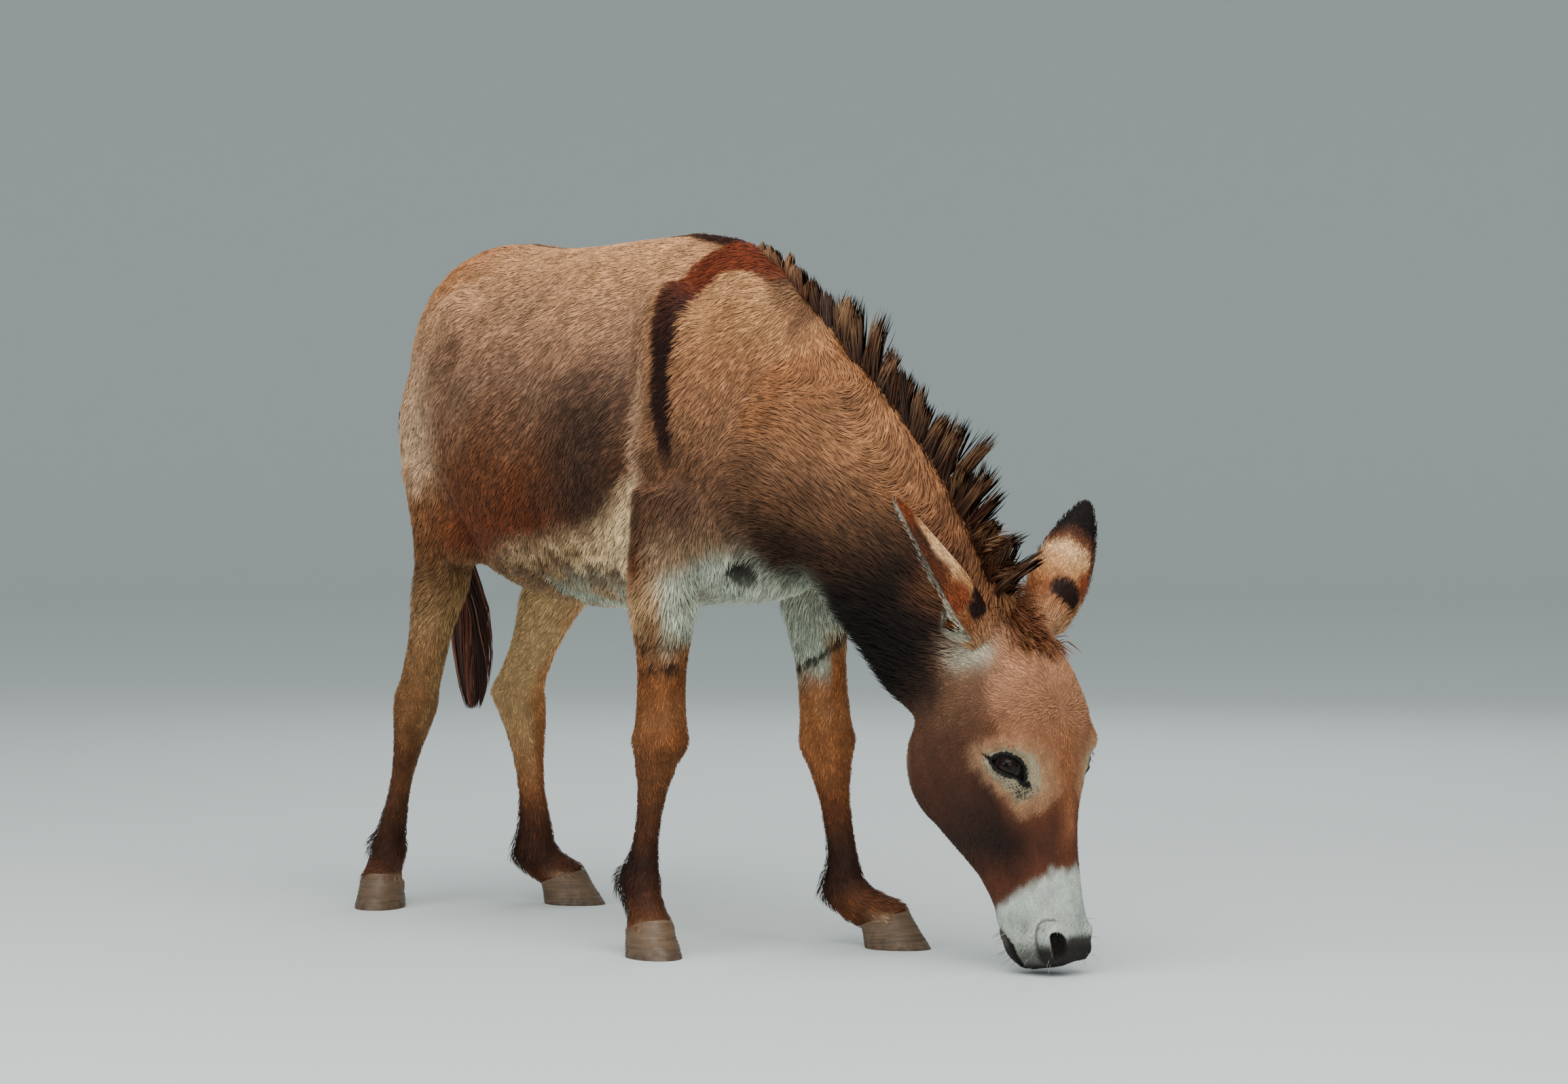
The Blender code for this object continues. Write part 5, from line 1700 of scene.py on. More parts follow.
def bare(points):
    """1 where no hair grows: inside the lids and nostrils, between the lips."""
    found = np.zeros(len(points))
    for name in EYE_PLACES:
        along, up, out = around(points, eye_frame(name))
        away, opening = reach_of(LID_OPENING, along, up)
        near = (np.hypot(along, up) < 0.06) & (out > -0.02)
        found = np.maximum(found, near * rise(0.0032, 0.0022, away - opening))
    for side in (-1, 1):
        across, up, out = around(points, nostril_frame(side))
        away, reach = reach_of(NOSTRIL_OPENING, across, up, centre=(0.004, -0.002))
        near = (away < 0.06) & (np.abs(out) < 0.05)
        found = np.maximum(found, near * rise(0.003, 0.001, away - reach))
    side, front, level = head_measures(points)
    return np.maximum(found, (mouth_gap(front, level) < 0.0035) * (level > 0.86) * in_head(points))


def triangles_of(mesh):
    mesh.calc_loop_triangles()
    corners = np.empty(len(mesh.loop_triangles) * 3, np.int32)
    mesh.loop_triangles.foreach_get("vertices", corners)
    return corners.reshape(-1, 3)


def scattered(points, normals, corners, count, density, seed):
    """Roots spread over triangles by area and density: their places and smooth normals."""
    chance = np.random.default_rng(seed)
    first, second, third = (points[corners[:, k]] for k in range(3))
    area = np.linalg.norm(np.cross(second - first, third - first), axis=1) / 2
    weight = np.cumsum(area * density((first + second + third) / 3))
    picks = (np.arange(count) + chance.random(count)) * weight[-1] / count
    faces = np.minimum(np.searchsorted(weight, picks), len(corners) - 1)
    u, v = chance.random((2, count))
    over = u + v > 1
    u, v = np.where(over, 1 - u, u), np.where(over, 1 - v, v)
    shares = np.stack([1 - u - v, u, v], 1)
    chosen = corners[faces]
    roots = np.einsum("ij,ijk->ik", shares, points[chosen])
    return roots, unit(np.einsum("ij,ijk->ik", shares, normals[chosen]))


def gathered(roots, tips, share, spacing, seed):
    """Tips drawn together: every tip leans towards that of the nearest leading tuft."""
    chance = np.random.default_rng(seed)
    leaders = chance.permutation(len(roots))[: max(len(roots) // spacing, 1)]
    tree = KDTree(len(leaders))
    for index in leaders:
        tree.insert(roots[index], int(index))
    tree.balance()
    nearest = np.array([tree.find(root)[1] for root in roots])
    return tips + (tips[nearest] - tips) * column(share), nearest


def hair_object(name, points, faces, normals, colours, uvs, material):
    """One joined mesh of locks, with point colours, soft normals and its own colour map."""
    mesh = bpy.data.meshes.new(name)
    mesh.vertices.add(len(points))
    mesh.vertices.foreach_set("co", points.astype(np.float32).ravel())
    mesh.loops.add(faces.size)
    mesh.loops.foreach_set("vertex_index", faces.astype(np.int32).ravel())
    mesh.polygons.add(len(faces))
    mesh.polygons.foreach_set("loop_start", np.arange(0, faces.size, 3, dtype=np.int32))
    mesh.update(calc_edges=True)
    put_colours(mesh, colours)
    layer = mesh.uv_layers.new(name="OFBake")
    layer.data.foreach_set("uv", uvs[faces.ravel()].astype(np.float32).ravel())
    obj = bpy.data.objects.new(name, mesh)
    bpy.context.scene.collection.objects.link(obj)
    settle(obj, material)
    mesh.normals_split_custom_set_from_vertices(unit(normals).astype(np.float32))
    return obj


PATCH = 0.003
TUFT_FACES = np.array([[0, 1, 2], [0, 2, 3], [0, 3, 1], [4, 2, 1], [4, 3, 2], [4, 1, 3]])


def tufts(name, roots, normals, ways, fur, colours, unwrap, material, seed, bunch=0.3, spacing=8):
    """A coat piece of short tufts."""
    chance = np.random.default_rng(seed)
    count = len(roots)
    ways = unit(ways + np.cross(normals, ways) * column(chance.normal(0, 0.13, count)))
    length = fur.length * chance.uniform(0.72, 1.22, count)
    lift = fur.lift * chance.uniform(0.6, 1.4, count)
    rising = np.sin(lift)
    tips = roots + ways * column(length) + normals * column(length * rising)
    tips, leader = gathered(roots, tips, bunch * chance.uniform(0.4, 1.0, count), spacing, seed)
    ways = unit(tips - roots)
    width = column(fur.width * chance.uniform(0.75, 1.25, count) / 2)
    sideways = unit(np.cross(normals, ways))
    base = roots - normals * 0.0008
    middle = roots + ways * column(length * 0.42) + normals * column(length * rising * 0.30)
    left, right = (middle + sideways * width * way - normals * width * 0.25 for way in (-1, 1))
    ridge = middle + normals * width * 0.55
    points = np.stack([base, left, ridge, right, tips], 1).reshape(-1, 3)
    faces = (TUFT_FACES[None] + (np.arange(count) * 5)[:, None, None]).reshape(-1, 3)
    soft = np.stack(
        [normals, normals - sideways * 0.45, normals, normals + sideways * 0.45, normals + ways * 0.15], 1
    ).reshape(-1, 3)
    tone = chance.uniform(0.64, 1.32, count) * chance.uniform(0.70, 1.30, count)[leader]
    shades = np.array([0.45, 0.86, 0.95, 0.86, 1.28])
    calm = 1 - 0.45 * in_head(roots)  # the face's short hair is the evenest
    tone = 1 + (tone - 1) * calm
    shades = 1 + (shades[None] - 1) * column(calm)
    tinted = (colours * column(tone))[:, None, :] * shades[:, :, None]
    across, upward = unwrap
    patch = np.array([[0.5, 0.0], [0.0, 0.5], [0.5, 0.5], [1.0, 0.5], [0.5, 1.0]]) * PATCH
    uvs = np.stack([across, upward], 1)[:, None, :] + patch[None]
    return hair_object(name, points, faces, soft, tinted.reshape(-1, 3), uvs.reshape(-1, 2), material)


def spread_out(values, low=None, high=None):
    """Values brought between 0.01 and 0.985 for a colour map."""
    low = values.min() if low is None else low
    high = values.max() if high is None else high
    return 0.01 + 0.975 * np.clip((values - low) / (high - low), 0, 1)


def unwrapped(points, line):
    """A colour map's place for each point: along a line of joints, and round it."""
    along, offset, _ = along_line(points, line)
    around_line = np.arctan2(offset[:, 0], offset[:, 2] * 0.75 - offset[:, 1] * 0.65)
    return spread_out(along, 0, len(line) - 1), spread_out(around_line, -math.pi, math.pi)


TRUNK_LINE = [place(0, forward, 0.83) for forward in np.linspace(-0.62, 0.56, 9)]
HEAD_LINE = [head_place(0, -0.12, level) for level in np.linspace(-0.15, 1.05, 9)]


BARREL_FROM, BARREL_TO = -0.16, 0.26
RUMP, BARREL, SHOULDERS = (-math.inf, BARREL_FROM), (BARREL_FROM, BARREL_TO), (BARREL_TO, math.inf)


def on_legs(points):
    return in_legs(points, 0.545, 0.535) > 0.5


def trunk_part(points, reach):
    """1 on the trunk between two places along it, and 0 on the head, neck and legs."""
    low, high = reach
    forward = -points[:, 1]
    along, _, _, _ = neck_measures(points)
    neck = rise(0.9, 1.1, along) * (forward > 0.46)
    elsewhere = (in_head(points) > 0.5) | on_legs(points) | (neck > 0.5)
    return (1 - elsewhere) * (forward > low) * (forward <= high)


def neck_part(points):
    along, _, _, _ = neck_measures(points)
    return (along > 1.0) * (-points[:, 1] > 0.46) * (in_head(points) <= 0.5) * (points[:, 2] > 0.30)


COAT_PARTS = {
    # how many tufts, where they grow, and the line that their colour map runs along
    "coat_rump_right": (23500, lambda p: trunk_part(p, RUMP) * (p[:, 0] <= 0), TRUNK_LINE),
    "coat_rump_left": (23500, lambda p: trunk_part(p, RUMP) * (p[:, 0] > 0), TRUNK_LINE),
    "coat_barrel_right": (25000, lambda p: trunk_part(p, BARREL) * (p[:, 0] <= 0), TRUNK_LINE),
    "coat_barrel_left": (25000, lambda p: trunk_part(p, BARREL) * (p[:, 0] > 0), TRUNK_LINE),
    "coat_shoulders": (30000, lambda p: trunk_part(p, SHOULDERS), TRUNK_LINE),
    "coat_neck": (29500, neck_part, NECK_LINE),
    "coat_head": (32000, lambda p: (in_head(p) > 0.5) * (1 - bare(p)), HEAD_LINE),
    "coat_legs_front": (16500, lambda p: on_legs(p) * (-p[:, 1] > 0.05) * (in_head(p) <= 0.5), None),
    "coat_legs_rear": (16500, lambda p: on_legs(p) * (-p[:, 1] <= 0.05), None),
}


class Flesh:
    """The places, normals and triangles of the finished skin, without the ears."""

    def __init__(self):
        mesh = bpy.data.objects["skin"].data
        self.points, self.normals = points_of(mesh) - np.array(SHIFT), normals_of(mesh)
        ears = np.empty(len(mesh.vertices), np.float32)
        mesh.attributes["ear"].data.foreach_get("value", ears)
        corners = triangles_of(mesh)
        self.corners = corners[ears[corners].max(axis=1) < 0.5]


def build_coat(share):
    flesh = Flesh()
    material = hair_material("short coat")
    for index, (name, (count, where, line)) in enumerate(COAT_PARTS.items()):
        roots, normals = scattered(
            flesh.points, flesh.normals, flesh.corners, int(count * share), where, 100 + index
        )
        if line is None:
            which, along, offset, _ = leg_measures(roots)
            turn = np.arctan2(offset[:, 0], -offset[:, 1]) + which % 2 * 2 * math.pi
            unwrap = spread_out(along, 0, 4), spread_out(turn, -math.pi, 3 * math.pi)
        else:
            unwrap = unwrapped(roots, line)
        ways = lie_of_coat(roots, normals)
        tufts(name, roots, normals, ways, fur_of(roots), coat_colour(roots), unwrap, material, 200 + index)


# ---------------------------------------------------------------------------
# Ears' coat

EAR_TUFTS = 6000


def ear_ways(name):
    """The way up the ear, and the way that its opening faces."""
    side, _, (out, back, up) = EAR_PLACES[name]
    axis = (HEAD_LEFT * side * out - HEAD_AHEAD * back + UP * up).normalized()
    opening = HEAD_LEFT * side * 0.72 - HEAD_AHEAD * 0.62
    opening = (opening - axis * opening.dot(axis)).normalized()
    return np.array(axis), np.array(opening)


def ear_inside(leaf_points, leaf_normals, name):
    """1 on the inner face of the ear's cup and 0 on its outside."""
    share, _, _ = ear_measures(leaf_points, name)
    facing = leaf_normals @ ear_ways(name)[1]
    return ((facing > 0.15) & (share > 0.06)).astype(float)


def build_ear_coat(share):
    """Short hair outside the ears, and longer pale hair inside them."""
    material = hair_material("ear coat")
    for index, name in enumerate(EAR_PLACES):
        leaf = ear_shell(name)
        points, normals, corners = points_of(leaf.data), normals_of(leaf.data), triangles_of(leaf.data)
        bpy.data.objects.remove(leaf)
        roots, root_normals = scattered(
            points, normals, corners, int(EAR_TUFTS * share),
            lambda spots, name=name: (ear_measures(spots, name)[0] > -0.02).astype(float), 300 + index,
        )
        inside = ear_inside(roots, root_normals, name)
        along, across, opening = ear_measures(roots, name)
        axis = ear_ways(name)[0]
        spread = np.sign(across) * np.minimum(np.abs(across) / 0.03, 1)
        ways = axis + column(-0.25 * spread * inside) * np.cross(axis, ear_ways(name)[1])
        ways = unit(ways - root_normals * column(dot(ways, root_normals)))
        reach = np.interp(along, [row[0] for row in EAR_SHAPE], [row[1] for row in EAR_SHAPE])
        rim = rise(0.75, 0.95, np.abs(across) / np.maximum(reach, 0.004))
        length = 0.0085 + 0.003 * rim + inside * 0.008 * rise(0.75, 0.3, along)
        base = rise(0.16, 0.02, along)
        fur = Fur(length + 0.008 * base, np.full(len(roots), 0.0016), 0.20 + 0.25 * inside + 0.15 * rim)
        colours = ear_colour(roots, name, inside)
        turn = np.arctan2(across, opening) + inside * 2 * math.pi
        unwrap = spread_out(along, -0.1, 1.1), spread_out(turn, -math.pi, 3 * math.pi)
        tufts(f"coat_{name}", roots, root_normals, ways, fur, colours, unwrap, material, 310 + index, 0.3)


# ---------------------------------------------------------------------------
# Long hair. Every lock is a closed tapering thread with a three-cornered section.


def lock_faces(rings):
    faces = [(0, 1, 2), (0, 2, 3), (0, 3, 1)]
    for ring in range(rings - 1):
        start = 1 + 3 * ring
        for corner in range(3):
            near, far = start + corner, start + (corner + 1) % 3
            faces += [(near, near + 3, far), (far, near + 3, far + 3)]
    last, tip = 1 + 3 * (rings - 1), 1 + 3 * rings
    faces += [(last + (k + 1) % 3, last + k, tip) for k in range(3)]
    return np.array(faces)


def locks(name, paths, widths, flats, colours, material, unwrap, stands_for=()):
    """Long locks. paths and colours are (lock, place along, 3); flats face out of the hair."""
    count, places = paths.shape[:2]
    rings = places - 2
    steps = unit((paths[:, 2:] - paths[:, :-2]).reshape(-1, 3))
    sideways = unit(np.cross(steps, np.repeat(flats, rings, axis=0))).reshape(count, rings, 3)
    outward = np.cross(sideways.reshape(-1, 3), steps).reshape(count, rings, 3)
    halves = widths[:, :, None] / 2
    middles = paths[:, 1:-1]
    corners = np.stack(
        [
            middles - sideways * halves - outward * halves * 0.4,
            middles + outward * halves * 0.7,
            middles + sideways * halves - outward * halves * 0.4,
        ],
        2,
    ).reshape(count, rings * 3, 3)
    points = np.concatenate([paths[:, :1], corners, paths[:, -1:]], 1)
    size = points.shape[1]
    faces = lock_faces(rings)
    # Faces are turned to look out of the lock.
    first = points[0]
    spans = first - first[0]
    volume = sum(np.dot(spans[a], np.cross(spans[b], spans[c])) for a, b, c in faces)
    if volume < 0:
        faces = faces[:, ::-1]
    faces = (faces[None] + (np.arange(count) * size)[:, None, None]).reshape(-1, 3)
    soft_sides = np.stack([outward - sideways, outward * 1.5, outward + sideways], 2)
    soft_sides = soft_sides.reshape(count, rings * 3, 3)
    soft = np.concatenate([soft_sides[:, :1], soft_sides, soft_sides[:, -1:]], 1)
    tints = np.concatenate([colours[:, :1], np.repeat(colours[:, 1:-1], 3, axis=1), colours[:, -1:]], 1)
    spots = np.linspace(0, 1, places)
    lengths = np.concatenate([[0], np.repeat(spots[1:-1], 3), [1]]) * PATCH
    breadths = np.concatenate([[0.5], np.tile([0, 0.5, 1], rings), [0.5]]) * PATCH
    patch = np.stack([breadths, lengths], 1)
    uvs = np.stack(unwrap, 1)[:, None, :] + patch[None]
    points, soft, tints = (values.reshape(-1, 3) for values in (points, soft, tints))
    obj = hair_object(name, points, faces, soft, tints, uvs.reshape(-1, 2), material)
    if stands_for:
        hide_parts(*stands_for)
    return obj


def curved(roots, bent, tips, shares):
    """Paths that leave their roots towards bent and end at their tips."""
    return np.stack([roots * (1 - s) ** 2 + bent * 2 * s * (1 - s) + tips * s * s for s in shares], 1)


def bundled(chance, position, spacing, jitter):
    """Bundle number for each lock by its position, and each bundle's own random numbers."""
    bundle = np.floor(position / spacing + chance.uniform(-jitter, jitter, len(position))).astype(int)
    bundle -= bundle.min()
    return bundle, chance.normal(size=(bundle.max() + 1, 4))


MANE_LOCKS = 3000
MANE_BUNDLE = 0.13  # in places between the neck's slices


def crest_measures(where):
    """Crest points, the ways out of the neck and along it, for places between the slices."""
    stops_ = np.arange(len(NECK_SHAPE))
    crests = np.array([place(*crest) for crest, _, _ in NECK_SHAPE])
    throats = np.array([place(*throat) for _, throat, _ in NECK_SHAPE])
    crest, throat, ahead = (
        np.stack([np.interp(spots, stops_, source[:, axis]) for axis in range(3)], 1)
        for spots, source in ((where, crests), (where, throats), (np.minimum(where + 0.2, 7), crests))
    )
    behind = np.stack([np.interp(where - 0.2, stops_, crests[:, axis]) for axis in range(3)], 1)
    return crest, unit(crest - throat), unit(ahead - behind)


def build_mane(share, tallest, brown):
    """A stiff mane of spiky bundles along the crest, and the forelock between the ears."""
    chance = np.random.default_rng(400)
    count = int(MANE_LOCKS * share)
    where = chance.uniform(MANE_SHAPE[0][0], MANE_SHAPE[-1][0] + 0.15, count)
    crest, out, tangent = crest_measures(where)
    aside = unit(np.cross(out, tangent))
    marks = [row[0] for row in MANE_SHAPE]
    height = tallest * np.interp(where, marks, [row[1] for row in MANE_SHAPE])
    half = np.interp(where, marks, [row[2] for row in MANE_SHAPE])
    lean = chance.uniform(-1, 1, count)
    sunk = MANE_ROOT * 0.6 + 0.35 * np.abs(lean) * half
    roots = crest + aside * column(lean * half * 0.75) - out * column(sunk)
    bundle, own = bundled(chance, where + 0.05 * lean, MANE_BUNDLE, 0.25)
    # Tips run on towards the head, more so low on the neck, and each bundle its own way.
    forwards = np.interp(where, (0.7, 3.0, 5.0, 6.8), (0.10, 0.05, 0.30, 0.55)) + 0.24 * own[bundle, 0]
    sideways = lean * 0.25 + 0.20 * own[bundle, 1] - 0.10
    ways = out + tangent * column(forwards) + aside * column(sideways)
    ways = unit(ways + 0.07 * chance.normal(size=(count, 3)))
    length = (height + MANE_ROOT) * (1.04 + 0.22 * own[bundle, 2]) * chance.uniform(0.70, 1.08, count)
    length *= 1 + 0.28 * rise(3.8, 5.4, where) * rise(7.2, 6.4, where)
    length *= 1 - 0.25 * np.abs(lean)
    tips = roots + ways * column(length)
    # Tips in a bundle are drawn to one point.
    members = np.bincount(bundle)
    middle = np.stack([np.bincount(bundle, tips[:, axis]) for axis in range(3)], 1)
    middle = middle / column(np.maximum(members, 1))
    pull = chance.uniform(0.15, 0.55, count)
    tips = tips + (middle[bundle] + out * 0.006 - tips) * column(pull)
    tips -= out * column(rise(5.2, 6.8, where) * 0.010)
    shares = np.array([0.0, 0.22, 0.5, 0.78, 1.0])
    bent = roots + ways * column(length * 0.5)
    paths = curved(roots, bent, tips, shares)
    widths = column(chance.uniform(0.0020, 0.0034, count)) * np.array([1.0, 0.85, 0.5])
    flats = unit(aside * column(np.sign(lean + 0.01)))
    dark = MANE_DARK * column(chance.uniform(0.6, 1.3, count))
    tan = rise(2.1, 1.2, where + 0.25 * own[bundle, 3])
    dark = blend(dark, brown * 0.9, tan * 0.8)
    outer = rise(0.84, 0.98, np.abs(lean)) * 0.35
    dark = blend(dark, brown, outer)
    tanned = 0.35 + 0.3 * own[bundle, 3] + 0.5 * tan + 0.2 * chance.normal(size=count)
    rusty = blend(np.tile(brown, (count, 1)), MANE_TAN, tanned)
    tone = np.array([0.0, 0.05, 0.18, 0.55, 0.95])
    reddening = np.clip(tone[None] * (0.75 + 0.35 * own[bundle, 0])[:, None], 0, 1)[:, :, None]
    colours = dark[:, None] * (1 - reddening) + rusty[:, None] * reddening
    unwrap = spread_out(where, 0, 7.2), spread_out(lean, -1, 1)
    material = hair_material("stiff hair", 0.5, 0.2)
    locks("mane_hair", paths, widths, flats, colours, material, unwrap, ["mane"])
    build_forelock(material, share)


def build_forelock(material, share):
    chance = np.random.default_rng(410)
    count = int(1100 * share)
    side = chance.normal(0, 0.019, count)
    level = chance.uniform(-0.13, 0.060, count)
    roots = np.array([head_place(s + 0.006, 0, l) for s, l in zip(side, level)])
    front = np.interp(level, (-0.13, 0.0, 0.060), (-0.128, -0.062, -0.045))
    roots = roots + np.array(FACE_FRONT) * column(front)
    bundle, own = bundled(chance, side + level * 0.25, 0.010, 0.3)
    down = 0.30 + 0.55 * own[bundle, 0]
    ways = (
        np.array(FACE_FRONT) * column(0.85 + 0.2 * own[bundle, 1])
        + np.array(FACE_DOWN) * column(down)
        + np.array(HEAD_LEFT) * column(side * 14 + 0.45 * own[bundle, 2])
    )
    ways = unit(ways + 0.22 * chance.normal(size=(count, 3)))
    length = chance.uniform(0.024, 0.050, count) * np.interp(level, (-0.13, 0.02, 0.060), (1.25, 1.0, 0.6))
    tips = roots + ways * column(length) + np.array(FACE_DOWN) * column(length * 0.35)
    shares = np.array([0.0, 0.25, 0.55, 0.8, 1.0])
    bent = roots + ways * column(length * 0.55)
    paths = curved(roots, bent, tips, shares)
    widths = column(chance.uniform(0.0014, 0.0024, count)) * np.array([1.0, 0.85, 0.5])
    base = blend(np.tile(srgb(58, 26, 14), (count, 1)), MANE_DARK * 0.7, chance.random(count))
    end = blend(np.tile(srgb(120, 62, 30), (count, 1)), srgb(184, 120, 70), chance.random(count) ** 2)
    tone = np.array([0.0, 0.1, 0.35, 0.7, 1.0])[None, :, None]
    colours = base[:, None] * (1 - tone) + end[:, None] * tone
    unwrap = spread_out(level), spread_out(side)
    locks("forelock", paths, widths, np.tile(np.array(FACE_FRONT), (count, 1)), colours, material, unwrap)


TAIL_LOCKS = 1100


def build_tail(share, dark):
    """The long hair of the tail, hanging round its thin lower core to a point."""
    chance = np.random.default_rng(420)
    count = int(TAIL_LOCKS * share)
    line = np.array([tuple(point) for point in TAIL_LINE])
    halves = np.array([row[2] for row in TAIL_SHAPE])
    stops_ = np.arange(len(line))
    start = np.interp(chance.random(count), (0, 0.45, 1), (3.0, 4.6, 6.6))
    end = np.minimum(start + chance.uniform(2.6, 5.0, count), 8.95 - 0.5 * chance.random(count) ** 3)
    turn = chance.uniform(0, 2 * math.pi, count)
    reach = np.sqrt(chance.random(count))
    places = 8
    spots = start[:, None] + (end - start)[:, None] * np.linspace(0, 1, places)[None]
    middles = np.stack([np.interp(spots, stops_, line[:, axis]) for axis in range(3)], 2)
    half = np.interp(spots, stops_, halves)
    grown = np.linspace(0, 1, places)[None]
    out_share = (0.30 + 0.70 * np.minimum(grown * 3, 1)) * reach[:, None]
    drift = turn[:, None] + 0.35 * np.sin(grown * 3 + turn[:, None] * 2)
    # The bundle is broader from side to side, and long strands part at its end.
    offset = np.stack([np.cos(drift), np.sin(drift) * 0.85, np.zeros_like(drift)], 2)
    paths = middles + offset * (half * out_share)[:, :, None]
    bundle = (turn / (2 * math.pi) * 9).astype(int)
    own = chance.normal(size=(9, 3)) * np.array([0.006, 0.005, 0.0])
    paths += own[bundle][:, None, :] * (grown**2)[:, :, None]
    widths = column(chance.uniform(0.0022, 0.0036, count)) * np.array([1, 1, 1, 0.9, 0.75, 0.45])
    flats = unit(offset[:, 0] + np.array([0, 0, 0.05]))
    red = np.clip(0.35 + 0.5 * np.sin(turn * 5 + 1.0) + 0.35 * chance.normal(size=count), 0, 1)
    red *= rise(0.3, 0.8, np.abs(np.cos(turn - 0.3)) + 0.3)
    base = blend(np.tile(dark, (count, 1)), TAIL_RED * 1.25, red)
    base = blend(base, srgb(150, 104, 82), (chance.random(count) > 0.93) * 0.7)
    shade = (0.55 + 0.65 * np.linspace(0, 1, places))[None, :, None]
    colours = base[:, None] * shade
    unwrap = spread_out(start + chance.random(count)), spread_out(turn)
    material = hair_material("long hair", 0.45, 0.25)
    locks("tail_hair", paths, widths, flats, colours, material, unwrap, ["tail_switch"])


# ---------------------------------------------------------------------------
# Eyes and hooves


def build_eyes(brown):
    """Globes with a bulging clear front, a brown iris and a level slot of a pupil."""
    material = eye_material()
    for name in EYE_PLACES:
        eye = eye_frame(name)
        bm = bmesh.new()
        bmesh.ops.create_uvsphere(bm, u_segments=64, v_segments=48, radius=EYE_RADIUS)
        turned = Matrix((eye.along, eye.up, eye.out)).transposed().to_4x4()
        bmesh.ops.transform(bm, matrix=turned, verts=bm.verts)
        globe = new_object(name + "_globe", bm)
        points = points_of(globe.data)
        along, up, out = points @ eye.along, points @ eye.up, points @ eye.out
        away = np.hypot(along, up)
        bulge = rise(0.0135, 0.006, away) * (out > 0) * 0.0016
        put_points(globe.data, eye.middle + points + column(bulge) * eye.out)
        iris = np.tile(brown, (len(points), 1))
        iris = blend(iris, srgb(14, 10, 9), rise(0.0108, 0.0126, away))
        pupil = np.hypot(along / 0.0085, up / 0.0038)
        iris = blend(iris, srgb(4, 4, 5), rise(1.15, 0.9, pupil))
        iris = blend(iris, srgb(40, 32, 28), rise(0.0150, 0.0170, away) * (out > 0))
        put_colours(globe.data, iris)
        settle(globe, material, [name])


def build_hooves(clean, soil, count):
    """Hooves with growth rings, a flared toe and a flat sole."""
    material = horn_material(clean, soil)
    for name, leg in LEGS.items():
        toe, coronet = toe_direction(leg), coronet_middle(leg)
        slices = []
        for share, front, back, half_width in HOOF_SHAPE:
            middle = Vector((coronet.x, coronet.y, coronet.z * share)) + toe * 0.010 * (1 - share)
            tilt = UP * CORONET_SLOPE * share
            ahead = toe + tilt
            slices.append(cut(middle + ahead * front, middle - ahead * back, half_width, 0.42))
        hoof_name = name.replace("foreleg", "hoof_front").replace("hindleg", "hoof_rear")
        horn = loft(hoof_name + "_horn", slices, points=48, steps=12)
        points, normals = points_of(horn.data), normals_of(horn.data)
        centre = np.array(coronet)
        height = points[:, 2] / (CORONET_HEIGHT + CORONET_SLOPE * ((points - centre) @ np.array(toe)))
        rings = np.sin(height * count * 2 * math.pi + 1.5 * mottle(points, 0.05, 90))
        wall = rise(0.06, 0.16, height) * rise(1.0, 0.90, height)
        level = normals * np.array([1.0, 1.0, 0.0])
        uneven = (0.0006 * rings + 0.0005 * mottle(points, 0.012, 91)) * wall
        put_points(horn.data, points + level * column(uneven))
        settle(horn, material, [hoof_name])


LASH_ROWS = 46
FEELER_CLEARANCE = 0.006


